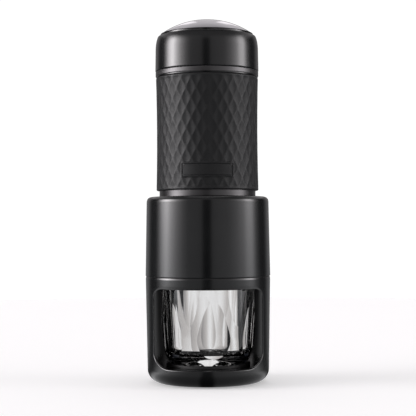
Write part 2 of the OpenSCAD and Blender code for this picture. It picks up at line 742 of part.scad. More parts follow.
module pump_cap() {
    seat_r = trim_inner_r - 0.1;
    hole_r = bush_step_r + slide_gap;
    color("#17191b") {
        difference() {
            rotate_extrude() polygon([[hole_r, cap_z], [plug_inner_r, cap_z],
                [plug_inner_r, cap_z - plug_skirt_h], [plug_outer_r, cap_z - plug_skirt_h],
                [plug_outer_r, cap_z], [trim_r - 0.4, cap_z], [trim_r - 0.4, trim_z], [seat_r, trim_z],
                [seat_r, cap_top_z], [guide_outer_r, cap_top_z], [guide_outer_r, cap_top_z + guide_h],
                [guide_inner_r, cap_top_z + guide_h], [guide_inner_r, cap_top_z], [hole_r, cap_top_z]]);
            slots(guide_inner_r - 1, guide_outer_r + 1, head_lug_z, cap_top_z + guide_h + 1);
            cylinder_screw_holes(1.2 + slide_gap, cap_z - 1, 3.6);
        }
        lugs(plug_outer_r - weld, plug_lug_r, plug_lug_z);
    }
}

module chrome_ring() {
    color("#c8cacd") ring(trim_inner_r, trim_r, trim_z, trim_h);
}

module guide_bush() {
    bore_r = rod_r + slide_gap;
    stop_z = cap_z - bush_stop_h;
    flange_top_z = cap_top_z + bush_flange_h;
    color("#d9d6cc") rotate_extrude() polygon([[bore_r, stop_z], [piston_r, stop_z], [piston_r, cap_z],
        [bush_step_r, cap_z], [bush_step_r, cap_top_z], [bush_flange_r, cap_top_z],
        [bush_flange_r, flange_top_z], [bore_r, flange_top_z]]);
}

module pump_cylinder() {
    flange_z = cap_z - cylinder_flange_t;
    color("#c8cacd") difference() {
        union() {
            translate([0, 0, cylinder_z]) cylinder(r = cylinder_r, h = cap_z - cylinder_z);
            translate([0, 0, flange_z]) cylinder(r = cylinder_flange_r, h = cylinder_flange_t);
        }
        translate([0, 0, cylinder_z - 1]) cylinder(r = cylinder_bore_r, h = cap_z - cylinder_z + 2);
        cylinder_screw_holes(1.4, flange_z - 1, cylinder_flange_t + 2);
    }
}

module cylinder_screws() {
    color("#9a9da1") around(cylinder_screws_n, cylinder_screw_circle_r)
        screw_up(cap_z - cylinder_flange_t, 1.2, cylinder_flange_t + 2.4, 2.2, 1.4);
}

// Inlet ports run in from the side and up to the flap; the outlet runs down the middle
module valve_block() {
    groove_z = outlet_z + seal_groove_z;
    groove_r = outlet_r - 0.9;
    port_z = block_z + valve_block_h / 2;
    color("#26292c") difference() {
        rotate_extrude() polygon([[0, outlet_z], [outlet_r, outlet_z], [outlet_r, groove_z],
            [groove_r, groove_z], [groove_r, groove_z + 1.6], [outlet_r, groove_z + 1.6],
            [outlet_r, block_z], [cylinder_r, block_z], [cylinder_r, cylinder_z],
            [piston_r, cylinder_z], [piston_r, chamber_z], [0, chamber_z]]);
        translate([0, 0, outlet_z - 1]) cylinder(r = plug_r, h = plug_h + 1);
        translate([0, 0, outlet_z - 1]) cylinder(r = ball_bore_r, h = seat_z - outlet_z + 1);
        translate([0, 0, outlet_z]) cylinder(r = seat_r, h = 40);
        around(4, port_circle_r) {
            translate([0, 0, port_z]) cylinder(r = port_r, h = 40);
            translate([0, 0, port_z]) rotate([0, 90, 0]) cylinder(r = port_r, h = 20);
        }
    }
}

// A flanged tube in the outlet passage, which the flap slides on
module flap_guide() {
    stop_z = chamber_z + flap_t + flap_lift;
    flange_r = (guide_tube_r + flap_r) / 2;
    color("#b9bcc0") rotate_extrude() polygon([[1.2, chamber_z - 2.5], [seat_r - slide_gap, chamber_z - 2.5],
        [seat_r - slide_gap, chamber_z], [guide_tube_r, chamber_z], [guide_tube_r, stop_z],
        [flange_r, stop_z], [flange_r, stop_z + 0.7], [1.2, stop_z + 0.7]]);
}

module inlet_flap() {
    color("#1b1c1e") ring(guide_tube_r + 0.2, flap_r, chamber_z, flap_t);
}

module outlet_plug() {
    color("#b9bcc0") ring(1.2, plug_r - slide_gap, outlet_z, plug_h);
}

module outlet_seal() {
    color("#1b1c1e") translate([0, 0, outlet_z + seal_groove_z + 0.8]) rotate_extrude()
        translate([outlet_r - 0.9 + slide_gap + seal_wire_r, 0]) circle(r = seal_wire_r, $fn = 24);
}

module outlet_ball() {
    color("#c8cacd") translate([0, 0, ball_z]) sphere(r = ball_r);
}

module outlet_spring() {
    color("#b9bcc0") coil(outlet_spring_r, outlet_spring_wire_r, outlet_z + plug_h,
        ball_z - sqrt(ball_r * ball_r - outlet_spring_r * outlet_spring_r) - 0.1, outlet_spring_turns);
}

module return_spring() {
    color("#b9bcc0") coil(spring_r, spring_wire_r, chamber_z, piston_z, spring_turns);
}

// ---- Plunger ----

module plunger_rod() {
    color("#c8cacd") difference() {
        translate([0, 0, rod_z]) cylinder(r = rod_r, h = rod_top_z - rod_z);
        translate([0, 0, rod_z - 1]) cylinder(r = 1.5 + slide_gap, h = 10);
        translate([0, 0, rod_top_z - head_screw_reach - 2])
            cylinder(r = head_screw_r + slide_gap, h = head_screw_reach + 3);
    }
}

module piston() {
    color("#d9d6cc") difference() {
        translate([0, 0, piston_z]) cylinder(r = piston_r, h = piston_h);
        ring(piston_r - piston_groove_depth, piston_r + 1, piston_groove_z, piston_groove_h);
        translate([0, 0, piston_z - 1]) cylinder(r = 1.7, h = piston_h + 2);
        translate([0, 0, piston_z - 1]) cylinder(r = 3.1, h = 3);
    }
}

module piston_seal() {
    color("#1b1c1e") ring(piston_r - piston_groove_depth + slide_gap, cylinder_bore_r - 0.03,
        piston_groove_z + 0.1, piston_groove_h - 0.2);
}

module piston_screw() {
    color("#9a9da1") screw_up(piston_z + 2, 1.5, piston_h + 5, 2.9, 1.8);
}

// ---- Pump head ----

module head_shell() {
    round_z = head_rim_z - head_round_h;
    recess_r = dome_skirt_r + 0.1;
    color("#17191b") {
        difference() {
            rotate_extrude() polygon(concat(
                [[head_screw_hole_r, web_z], [head_bore_r, web_z], [head_bore_r, head_z],
                    [head_low_r - 0.3, head_z], [head_low_r, head_z + 0.3]],
                [for (i = [0 : 8]) let (a = i * 90 / 8)
                    [dome_r + head_round_w * cos(a), round_z + head_round_h * sin(a)]],
                [[recess_r, head_rim_z], [recess_r, web_top_z], [head_screw_hole_r, web_top_z]]));
            around(3, hub_screw_circle_r)
                translate([0, 0, web_z - 1]) cylinder(r = 1.2, h = head_web_t + 2);
        }
        lugs(head_lug_r, head_bore_r + weld, head_lug_z);
    }
}

module head_hub() {
    flange_z = web_z - hub_flange_h;
    color("#26292c") difference() {
        union() {
            translate([0, 0, hub_z]) cylinder(r = hub_r, h = web_z - hub_z);
            translate([0, 0, flange_z]) cylinder(r = hub_flange_r, h = hub_flange_h);
        }
        translate([0, 0, hub_z - 1]) cylinder(r = rod_r + slide_gap, h = rod_top_z - hub_z + 1);
        translate([0, 0, hub_z - 1]) cylinder(r = head_screw_hole_r, h = web_z - hub_z + 2);
        around(3, hub_screw_circle_r) translate([0, 0, flange_z - 1])
            cylinder(r = 1 + slide_gap, h = hub_flange_h + 2);
    }
}

// Screws that hold the hub, driven down from the recess
module hub_screws() {
    color("#9a9da1") around(3, hub_screw_circle_r) translate([0, 0, web_top_z]) rotate([180, 0, 0])
        screw_up(0, 1, head_web_t + hub_flange_h - 0.3, 2, 1.3);
}

module head_screw() {
    color("#9a9da1") {
        translate([0, 0, rod_top_z - head_screw_reach]) cylinder(r = head_screw_r, h = head_screw_reach + 1);
        translate([0, 0, rod_top_z])
            cylinder(r = 1.25 * head_screw_r, h = web_top_z - rod_top_z + 0.5);
        difference() {
            translate([0, 0, web_top_z]) cylinder(r = 2.2 * head_screw_r, h = head_screw_head_h);
            translate([0, 0, web_top_z + head_screw_head_h * 0.46])
                cylinder(r = 1.2 * head_screw_r, h = head_screw_head_h, $fn = 6);
        }
    }
}

module dome_cover() {
    centre_z = dome_top_z - dome_sphere_r;
    inner_r = dome_sphere_r - dome_t;
    skirt_inner_r = dome_skirt_r - 0.9;
    skirt_z = web_top_z + 0.4;
    edge_angle = asin(dome_r / dome_sphere_r);
    inner_angle = asin(skirt_inner_r / inner_r);
    color("#c8cacd") rotate_extrude() polygon(concat(
        arc(0, centre_z, dome_sphere_r, 90 - edge_angle, 90, 14),
        arc(0, centre_z, inner_r, 90, 90 - inner_angle, 14),
        [[skirt_inner_r, skirt_z], [dome_skirt_r, skirt_z], [dome_skirt_r, head_rim_z]]));
}

cup_holder();
base_plate();
base_screws();
foot_ring();
cup_pad();
seam_seal();
glass_cup();
collar_shell();
brewing_bowl();
bowl_screws();
spout_nozzle();
coffee_basket();
group_gasket();
water_tank();
shower_screen();
shower_screw();
neck_band();
grip_sleeve();
mouth_seal();
pump_cap();
chrome_ring();
guide_bush();
pump_cylinder();
cylinder_screws();
valve_block();
flap_guide();
inlet_flap();
outlet_plug();
outlet_seal();
outlet_ball();
outlet_spring();
return_spring();
plunger_rod();
piston();
piston_seal();
piston_screw();
head_shell();
head_hub();
hub_screws();
head_screw();
dome_cover();
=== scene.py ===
"""Looks of a handheld manual espresso maker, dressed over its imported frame.

Each sub-assembly is a class. Its fields are sizes in millimetres, and its methods
work out surfaces as numpy arrays and give them their finish. Round pieces turn
about the Z axis, and the front of the object faces the -Y side.
"""

import functools
import logging
import math
from dataclasses import dataclass, field
from enum import Enum
from typing import Any, Sequence

import bmesh
import bpy
import numpy as np
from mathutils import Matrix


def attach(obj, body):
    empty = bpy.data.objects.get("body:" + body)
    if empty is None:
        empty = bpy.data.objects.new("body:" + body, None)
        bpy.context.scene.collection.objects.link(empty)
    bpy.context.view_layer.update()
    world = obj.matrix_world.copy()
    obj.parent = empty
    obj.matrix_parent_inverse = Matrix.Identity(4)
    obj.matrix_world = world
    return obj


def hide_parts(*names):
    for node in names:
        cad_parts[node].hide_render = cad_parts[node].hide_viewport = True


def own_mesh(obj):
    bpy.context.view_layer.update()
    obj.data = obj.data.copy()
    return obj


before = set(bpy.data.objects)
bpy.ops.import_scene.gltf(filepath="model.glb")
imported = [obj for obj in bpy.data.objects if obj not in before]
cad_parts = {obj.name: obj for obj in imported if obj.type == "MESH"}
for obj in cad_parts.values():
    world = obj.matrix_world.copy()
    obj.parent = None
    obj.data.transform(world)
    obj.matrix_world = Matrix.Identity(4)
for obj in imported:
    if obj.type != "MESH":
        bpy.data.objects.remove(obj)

LOG = logging.getLogger("espresso_maker")
MM = 0.001
FRONT = -math.pi / 2
Colour = tuple[float, float, float]
Corner = tuple[float, float, float]


# ---- Shader maths ----


class Value:
    """A number in a node tree; its operators add Math nodes."""

    def __init__(self, net: "Net", socket: bpy.types.NodeSocket) -> None:
        """Wraps one output socket of a tree."""
        self.net = net
        self.socket = socket

    def math(self, operation: str, *others: Any) -> "Value":
        """Adds one Math node that starts from this number.

        Args:
            operation: the Math node's operation.
            others: the node's further numbers or values.

        Returns:
            The node's result.
        """
        inputs = dict(enumerate((self, *others)))
        node = self.net.node("ShaderNodeMath", {"operation": operation}, inputs)
        return Value(self.net, node.outputs[0])

    def swapped(self, operation: str, first: float) -> "Value":
        """Adds one Math node in which this number comes second."""
        node = self.net.node("ShaderNodeMath", {"operation": operation}, {0: first, 1: self})
        return Value(self.net, node.outputs[0])

    def __add__(self, other: Any) -> "Value":
        """Sum."""
        return self.math("ADD", other)

    __radd__ = __add__

    def __mul__(self, other: Any) -> "Value":
        """Product."""
        return self.math("MULTIPLY", other)

    def __sub__(self, other: Any) -> "Value":
        """Difference."""
        return self.math("SUBTRACT", other)

    def __rsub__(self, other: float) -> "Value":
        """Reflected difference."""
        return self.swapped("SUBTRACT", other)

    def __truediv__(self, other: Any) -> "Value":
        """Quotient."""
        return self.math("DIVIDE", other)

    def ramped(self, low: float, high: float) -> "Value":
        """Smooth step: 0 below low, 1 above high, s * s * (3 - 2 * s) between."""
        settings = {"interpolation_type": "SMOOTHSTEP"}
        inputs = {"Value": self, "From Min": low, "From Max": high}
        return Value(self.net, self.net.node("ShaderNodeMapRange", settings, inputs).outputs[0])


class Net:
    """The node tree of one material or world."""

    def __init__(self, tree: bpy.types.NodeTree) -> None:
        """Empties the tree and keeps it."""
        tree.nodes.clear()
        self.tree = tree

    def node(self, kind: str, settings: dict[str, Any] | None = None,
             inputs: dict[int | str, Any] | None = None) -> bpy.types.Node:
        """Adds one node.

        Args:
            kind: the node's type.
            settings: properties that are set first; "stops" fills a colour ramp.
            inputs: a number, colour, value or socket for each named input.

        Returns:
            The node.
        """
        node = self.tree.nodes.new(kind)
        for name, setting in (settings or {}).items():
            if name == "stops":
                self._fill_ramp(node.color_ramp, setting)
            else:
                setattr(node, name, setting)
        for name, given in (inputs or {}).items():
            if isinstance(given, Value):
                given = given.socket
            if isinstance(given, bpy.types.NodeSocket):
                self.tree.links.new(given, node.inputs[name])
            else:
                node.inputs[name].default_value = given
        return node

    @staticmethod
    def _fill_ramp(ramp: bpy.types.ColorRamp, stops: Sequence[tuple[float, Colour]]) -> None:
        """Puts the stops, each a place and a colour, into a ramp."""
        while len(ramp.elements) < len(stops):
            ramp.elements.new(0.5)
        for element, (place, colour) in zip(ramp.elements, stops):
            element.position = place
            element.color = (*colour, 1.0)

    def object_coordinates(self) -> bpy.types.NodeSocket:
        """The piece's own Object coordinates, in metres."""
        return self.node("ShaderNodeTexCoord").outputs["Object"]

    def stretched(self, scale: Colour) -> bpy.types.NodeSocket:
        """Object coordinates multiplied along each axis."""
        inputs = {"Vector": self.object_coordinates(), "Scale": scale}
        return self.node("ShaderNodeMapping", None, inputs).outputs["Vector"]

    def noise(self, scale: float, detail: float = 3.0, roughness: float = 0.5,
              vector: bpy.types.NodeSocket | None = None) -> Value:
        """A noise pattern.

        Args:
            scale: cells for each metre.
            detail: octaves.
            roughness: how much the finer octaves count.
            vector: the coordinates, or the Object coordinates if none are given.

        Returns:
            The pattern, between 0 and 1.
        """
        inputs = {"Vector": vector or self.object_coordinates(), "Scale": scale,
                  "Detail": detail, "Roughness": roughness}
        return Value(self, self.node("ShaderNodeTexNoise", None, inputs).outputs["Fac"])

    def attribute(self, name: str) -> Value:
        """A number kept on the piece's own vertices."""
        settings = {"attribute_name": name, "attribute_type": "GEOMETRY"}
        return Value(self, self.node("ShaderNodeAttribute", settings).outputs["Fac"])

    def blend(self, share: Any, first: Any, second: Any) -> bpy.types.NodeSocket:
        """Mixes two colours by a share between 0 and 1."""
        colours = [(*c, 1.0) if isinstance(c, tuple) else c for c in (first, second)]
        inputs = {"Factor": share, 6: colours[0], 7: colours[1]}
        node = self.node("ShaderNodeMix", {"data_type": "RGBA", "clamp_factor": True}, inputs)
        return node.outputs[2]

    def axes(self, vector: bpy.types.NodeSocket) -> list[Value]:
        """The x, y and z of a vector."""
        node = self.node("ShaderNodeSeparateXYZ", None, {0: vector})
        return [Value(self, socket) for socket in node.outputs]

    def principled(self, inputs: dict[str, Any]) -> bpy.types.Node:
        """A surface shader with the given inputs."""
        return self.node("ShaderNodeBsdfPrincipled", None, inputs)

    def light(self, kind: str, colour: Any, strength: Any = 1.0) -> bpy.types.Node:
        """An Emission or Background shader."""
        colour = (*colour, 1.0) if isinstance(colour, tuple) else colour
        return self.node("ShaderNode" + kind, None, {"Color": colour, "Strength": strength})

    def by_ray(self, kind: str, these: bpy.types.Node,
               others: bpy.types.Node) -> bpy.types.Node:
        """Shows one shader to rays of a kind and another to all other rays."""
        share = self.node("ShaderNodeLightPath").outputs[f"Is {kind} Ray"]
        inputs = {0: share, 1: others.outputs[0], 2: these.outputs[0]}
        return self.node("ShaderNodeMixShader", None, inputs)

    def bump(self, height: Value, strength: float, distance_mm: float) -> bpy.types.NodeSocket:
        """A Bump node for a height pattern of that depth."""
        inputs = {"Height": height, "Strength": strength, "Distance": distance_mm * MM}
        return self.node("ShaderNodeBump", None, inputs).outputs["Normal"]


# ---- Finishes ----


class Slot(Enum):
    """The record's material slots."""

    SHELL = "shell_black"
    INNER = "inner_plastic"
    BEARING = "bearing_plastic"
    GRIP = "grip_rubber"
    SEAL = "seal_rubber"
    GASKET = "gasket_rubber"
    TRIM = "chrome_trim"
    STEEL = "steel"
    GLASS = "cup_glass"


@dataclass(frozen=True)
class Finish:
    """What a piece's surface is made of."""

    name: str
    slot: Slot

    @functools.cache
    def material(self) -> bpy.types.Material:
        """Makes the finish's material once.

        Returns:
            The material, with its nodes.
        """
        material = bpy.data.materials.new(self.name)
        material.use_nodes = True
        net = Net(material.node_tree)
        shader = self.shade(net)
        net.node("ShaderNodeOutputMaterial", None, {"Surface": shader.outputs[0]})
        return material

    def shade(self, net: Net) -> bpy.types.Node:
        """Adds the finish's shader nodes and returns the last one."""
        raise NotImplementedError


@dataclass(frozen=True)
class GlossShell(Finish):
    """Glossy moulded black plastic with a faint orange-peel skin and fine hairlines."""

    tint: Colour = (0.0045, 0.005, 0.0055)
    worn_tint: Colour = (0.008, 0.0085, 0.009)
    gloss: float = 0.17
    coat: float = 0.25
    peel_mm: float = 0.004

    def shade(self, net: Net) -> bpy.types.Node:
        """Cloudy tint, hairlines that dull the gloss, and a fine skin."""
        cloud = net.noise(38.0, 2.0)
        hairs = net.noise(30.0, 2.0, 0.6, net.stretched((60.0, 60.0, 2.2))).ramped(0.56, 0.74)
        peel = net.noise(900.0, 1.5)
        return net.principled({
            "Base Color": net.blend(cloud.ramped(0.35, 0.75), self.tint, self.worn_tint),
            "Roughness": self.gloss + cloud * 0.035 + hairs * 0.03,
            "IOR": 1.5,
            "Coat Weight": self.coat,
            "Coat Roughness": 0.08,
            "Normal": net.bump(peel, 0.35, self.peel_mm),
        })


@dataclass(frozen=True)
class MouldedPlastic(Finish):
    """Satin moulded plastic with a fine spark-eroded grain."""

    tint: Colour = (0.022, 0.023, 0.025)
    other_tint: Colour = (0.03, 0.031, 0.033)
    gloss: float = 0.38
    grain_mm: float = 0.01

    def shade(self, net: Net) -> bpy.types.Node:
        """Cloudy tint and a grain that breaks the gloss."""
        cloud = net.noise(60.0, 3.0)
        grain = net.noise(2600.0, 2.0)
        return net.principled({
            "Base Color": net.blend(cloud, self.tint, self.other_tint),
            "Roughness": self.gloss + (grain - 0.5) * 0.12 + (cloud - 0.5) * 0.08,
            "IOR": 1.48,
            "Normal": net.bump(grain, 0.4, self.grain_mm),
        })


@dataclass(frozen=True)
class GripRubber(Finish):
    """Soft dark rubber; the ridges between its diamonds are rubbed a little smoother."""

    tint: Colour = (0.0105, 0.011, 0.0118)
    ridge_tint: Colour = (0.017, 0.0173, 0.018)
    hollow_tint: Colour = (0.0078, 0.0082, 0.0088)
    gloss: float = 0.5
    grain_mm: float = 0.03

    def shade(self, net: Net) -> bpy.types.Node:
        """The kept ridge number lightens and smooths the ridges."""
        ridge = net.attribute("ridge")
        cloud = net.noise(45.0, 3.0)
        grain = net.noise(2200.0, 2.5, 0.6)
        body = net.blend(cloud.ramped(0.3, 0.8), self.tint, self.hollow_tint)
        return net.principled({
            "Base Color": net.blend(ridge.ramped(0.72, 1.0) * 0.6, body, self.ridge_tint),
            "Roughness": self.gloss + (grain - 0.5) * 0.14 - ridge.ramped(0.6, 1.0) * 0.07,
            "IOR": 1.4,
            "Sheen Weight": 0.03,
            "Sheen Roughness": 0.5,
            "Normal": net.bump(grain, 0.35, self.grain_mm),
        })


@dataclass(frozen=True)
class SealRubber(Finish):
    """Dull seal rubber with mould bloom."""

    tint: Colour = (0.012, 0.012, 0.012)
    bloom: Colour = (0.028, 0.028, 0.029)
    gloss: float = 0.52

    def shade(self, net: Net) -> bpy.types.Node:
        """A cloudy bloom over fine grain."""
        bloom = net.noise(120.0, 4.0, 0.6)
        grain = net.noise(1900.0, 2.0)
        return net.principled({
            "Base Color": net.blend(bloom.ramped(0.4, 0.8), self.tint, self.bloom),
            "Roughness": self.gloss + (bloom - 0.5) * 0.16,
            "IOR": 1.5,
            "Normal": net.bump(grain, 0.35, 0.02),
        })


@dataclass(frozen=True)
class TurnedMetal(Finish):
    """Metal with the fine marks of turning or polishing, which run round the axis."""

    tint: Colour = (0.62, 0.61, 0.6)
    dark_tint: Colour = (0.46, 0.45, 0.44)
    gloss: float = 0.16
    line_mm: float = 0.004
    line_scale: float = 5200.0

    def shade(self, net: Net) -> bpy.types.Node:
        """Noise pressed flat along Z gives the lines, a soft cloud the tarnish."""
        lines = net.noise(1.0, 2.0, 0.6, net.stretched((40.0, 40.0, self.line_scale)))
        cloud = net.noise(90.0, 3.0)
        share = lines * 0.6 + cloud * 0.4
        return net.principled({
            "Base Color": net.blend(share.ramped(0.3, 0.7), self.dark_tint, self.tint),
            "Metallic": 1.0,
            "Roughness": self.gloss + (lines - 0.5) * 0.1 + (cloud - 0.5) * 0.06,
            "Normal": net.bump(lines, 0.25, self.line_mm),
        })


@dataclass(frozen=True)
class PressedGlass(Finish):
    """Clear pressed glass with faint ripples."""

    tint: Colour = (0.985, 0.99, 0.988)
    other_tint: Colour = (0.97, 0.978, 0.976)

    def shade(self, net: Net) -> bpy.types.Node:
        """A faint ripple in the skin and a trace of tint."""
        ripple = net.noise(110.0, 1.5)
        return net.principled({
            "Base Color": net.blend(ripple, self.tint, self.other_tint),
            "Roughness": ripple * 0.012,
            "IOR": 1.5,
            "Transmission Weight": 1.0,
            "Normal": net.bump(ripple, 0.15, 0.05),
        })


SHELL = GlossShell("shell_black", Slot.SHELL)
HEAD_SHELL = GlossShell("shell_head", Slot.SHELL, gloss=0.19)
INNER = MouldedPlastic("inner_plastic", Slot.INNER)
BEARING = MouldedPlastic("bearing_plastic", Slot.BEARING, (0.62, 0.6, 0.54),
                         (0.7, 0.68, 0.63), 0.42)
GRIP = GripRubber("grip_rubber", Slot.GRIP)
SEAL = SealRubber("seal_rubber", Slot.SEAL)
GASKET = SealRubber("gasket_rubber", Slot.GASKET, (0.23, 0.045, 0.025),
                    (0.3, 0.075, 0.045), 0.5)
TRIM = TurnedMetal("chrome_trim", Slot.TRIM, (0.13, 0.128, 0.13), (0.088, 0.086, 0.088), 0.37)
NECK = TurnedMetal("neck_trim", Slot.TRIM, (0.118, 0.115, 0.117), (0.078, 0.075, 0.077), 0.34)
DOME = TurnedMetal("dome_trim", Slot.TRIM, (0.72, 0.71, 0.74), (0.6, 0.59, 0.62), 0.1, 0.002)
STEEL = TurnedMetal("steel", Slot.STEEL, (0.6, 0.6, 0.59), (0.45, 0.45, 0.45), 0.24)
GLASS = PressedGlass("cup_glass", Slot.GLASS)


# ---- Surfaces ----


@dataclass
class Surface:
    """Vertices in millimetres and faces, as whole arrays."""

    verts: np.ndarray
    faces: list[np.ndarray] = field(default_factory=list)
    numbers: dict[str, np.ndarray] = field(default_factory=dict)

    def __add__(self, other: "Surface") -> "Surface":
        """Both surfaces as one."""
        shifted = [f + len(self.verts) for f in other.faces]
        return Surface(np.vstack([self.verts, other.verts]), self.faces + shifted)

    def flipped(self) -> "Surface":
        """The same surface with its faces turned over."""
        return Surface(self.verts, [f[:, ::-1] for f in self.faces], self.numbers)


def grid(points: np.ndarray, wrap_rows: bool = False, wrap_cols: bool = False) -> Surface:
    """Joins a grid of points with quads.

    Formula: the quad at (i, j) has corners (i, j), (i, j+1), (i+1, j+1), (i+1, j).

    Args:
        points: rows by columns by 3.
        wrap_rows: whether the last row meets the first.
        wrap_cols: whether the last column meets the first.

    Returns:
        The surface.
    """
    rows, cols = points.shape[:2]
    index = np.arange(rows * cols).reshape(rows, cols)
    if wrap_rows:
        index = np.vstack([index, index[:1]])
    if wrap_cols:
        index = np.hstack([index, index[:, :1]])
    quads = np.stack([index[:-1, :-1], index[:-1, 1:], index[1:, 1:], index[1:, :-1]], axis=-1)
    return Surface(points.reshape(-1, 3), [quads.reshape(-1, 4)])


def polar(r: np.ndarray, theta: np.ndarray, z: np.ndarray) -> np.ndarray:
    """Points from radius, angle and height: (r cos theta, r sin theta, z)."""
    r, theta, z = np.broadcast_arrays(r, theta, z)
    return np.stack([r * np.cos(theta), r * np.sin(theta), z], axis=-1)


def arc(r: float, z: float, radius: float, start: float, end: float,
        points: int) -> np.ndarray:
    """Part of a circle as (r, z): centre + radius (cos a, sin a), with a in degrees."""
    a = np.radians(np.linspace(start, end, points))
    return np.stack([r + radius * np.cos(a), z + radius * np.sin(a)], -1)


def block(r_in: float, r_out: float, low_z: float, high_z: float, inner: float,
          outer: float) -> list[Corner]:
    """Corners of a ring's section, with the rounding of its inner and outer corners."""
    return [(r_in, low_z, inner), (r_out, low_z, outer),
            (r_out, high_z, outer), (r_in, high_z, inner)]


def rounded(corners: Sequence[Corner], closed: bool = True,
            steps: int = 5, guard: float = 0.25) -> np.ndarray:
    """A profile whose corners are rounded.

    Formula: a corner p of radius q starts at a, q back along the side before it, and
    ends at b, q on along the side after it; between them it is
    (1-s)^2 a + 2 s (1-s) p + s^2 b. A guard point lies just outside each end, so that
    the flat sides stay flat in the light.

    Args:
        corners: (r, z, radius) in order, with the material on the left.
        closed: whether the last corner meets the first.
        steps: parts of each rounding.
        guard: distance of the guard points, in mm.

    Returns:
        The (r, z) points.
    """
    p = np.array([c[:2] for c in corners], float)
    count = len(p)
    s = np.linspace(0.0, 1.0, steps + 1)[:, None]
    made: list[np.ndarray] = []
    for i in range(count):
        q = corners[i][2]
        if q <= 0 or (not closed and i in (0, count - 1)):
            made.append(p[i][None])
            continue
        back, on = p[i - 1] - p[i], p[(i + 1) % count] - p[i]
        far_back, far_on = np.linalg.norm(back), np.linalg.norm(on)
        q = min(q, 0.45 * far_back, 0.45 * far_on)
        rim = min(guard, 0.04 * far_back), min(guard, 0.04 * far_on)
        a, b = p[i] + back / far_back * q, p[i] + on / far_on * q
        bend = (1 - s) ** 2 * a + 2 * s * (1 - s) * p[i] + s**2 * b
        made += [(a + back / far_back * rim[0])[None], bend, (b + on / far_on * rim[1])[None]]
    return np.vstack(made)


def turned(profile: np.ndarray, cols: int = 160, closed: bool = True,
           start: float = 0.0, span: float = 2 * math.pi) -> Surface:
    """Turns a profile about Z; a part turn gets flat ends.

    Formula: (r cos t, r sin t, z) for t from start over span.

    Args:
        profile: (r, z) points, with the material on the left.
        cols: steps round the turn.
        closed: whether the profile's last point meets its first.
        start: first angle, in radians.
        span: angle turned through.

    Returns:
        The surface.
    """
    whole = span > 2 * math.pi - 1e-6
    t = start + np.linspace(0.0, span, cols, endpoint=not whole)
    points = polar(profile[:, :1], t[None], profile[:, 1:])
    made = grid(points, wrap_rows=closed, wrap_cols=whole)
    if not whole:
        first = np.arange(len(profile)) * cols
        made.faces += [first[None, :], (first + cols - 1)[None, ::-1]]
    return made


def lugs(r_in: float, r_out: float, z: float, height: float = 1.9, count: int = 3,
         span: float = math.radians(15)) -> Surface:
    """Bayonet lugs: short part turns of a rounded block, evenly spaced.

    Args:
        r_in: inner radius.
        r_out: outer radius.
        z: lowest height.
        height: thickness.
        count: how many, the first of them at angle 0.
        span: angle of each.

    Returns:
        All the lugs as one surface.
    """
    section = rounded(block(r_in, r_out, z, z + height, 0.25, 0.25), steps=3, guard=0.05)
    made = [turned(section, 10, True, k * 2 * math.pi / count - span / 2, span)
            for k in range(count)]
    return functools.reduce(lambda a, b: a + b, made)


# ---- Pieces ----


def placed(name: str, data: bpy.types.ID) -> bpy.types.Object:
    """Adds an object with this data to the scene."""
    made = bpy.data.objects.new(name, data)
    bpy.context.scene.collection.objects.link(made)
    return made


def merge(mesh: bpy.types.Mesh, distance: float, flat: float = 0.0) -> None:
    """Merges vertices within a distance in metres, and faces within an angle of flat."""
    work = bmesh.new()
    work.from_mesh(mesh)
    bmesh.ops.remove_doubles(work, verts=work.verts, dist=distance)
    if flat:
        bmesh.ops.dissolve_limit(work, angle_limit=flat, verts=work.verts, edges=work.edges)
    work.to_mesh(mesh)
    work.free()


def add_piece(name: str, surface: Surface, finish: Finish, body: str,
              stands_for: Sequence[str] = (), sharp: float = 35.0,
              bevel: float = 0.0) -> bpy.types.Object:
    """Makes a surface a piece that rides on a body.

    Args:
        name: the piece's name.
        surface: its vertices and faces.
        finish: its material.
        body: the CAD body it moves with.
        stands_for: CAD nodes that it replaces.
        sharp: edges over this many degrees stay sharp.
        bevel: width in mm of a bevel on the sharp edges.

    Returns:
        The piece.
    """
    mesh = bpy.data.meshes.new(name)
    faces = [f for block in surface.faces for f in block.tolist()]
    mesh.from_pydata((surface.verts * MM).tolist(), [], faces)
    for key, numbers in surface.numbers.items():
        mesh.attributes.new(key, "FLOAT", "POINT").data.foreach_set("value", numbers.ravel())
    merge(mesh, 2e-7)
    return finish_piece(name, mesh, finish, body, stands_for, sharp, bevel)


def finish_piece(name: str, mesh: bpy.types.Mesh, finish: Finish, body: str,
                 stands_for: Sequence[str], sharp: float, bevel: float) -> bpy.types.Object:
    """Gives a mesh its smooth light, bevel, material, body and CAD nodes, and logs it."""
    mesh.polygons.foreach_set("use_smooth", np.ones(len(mesh.polygons), bool))
    mesh.set_sharp_from_angle(angle=math.radians(sharp))
    piece = placed(name, mesh)
    if bevel:
        edge = piece.modifiers.new("edge", "BEVEL")
        edge.width = bevel * MM
        edge.segments = 2
        edge.limit_method = "ANGLE"
        edge.angle_limit = math.radians(38)
        edge.harden_normals = True
    mesh.materials.append(finish.material())
    if stands_for:
        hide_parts(*stands_for)
    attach(piece, body)
    LOG.info("%s: %d faces on %s", name, len(mesh.polygons), body)
    return piece


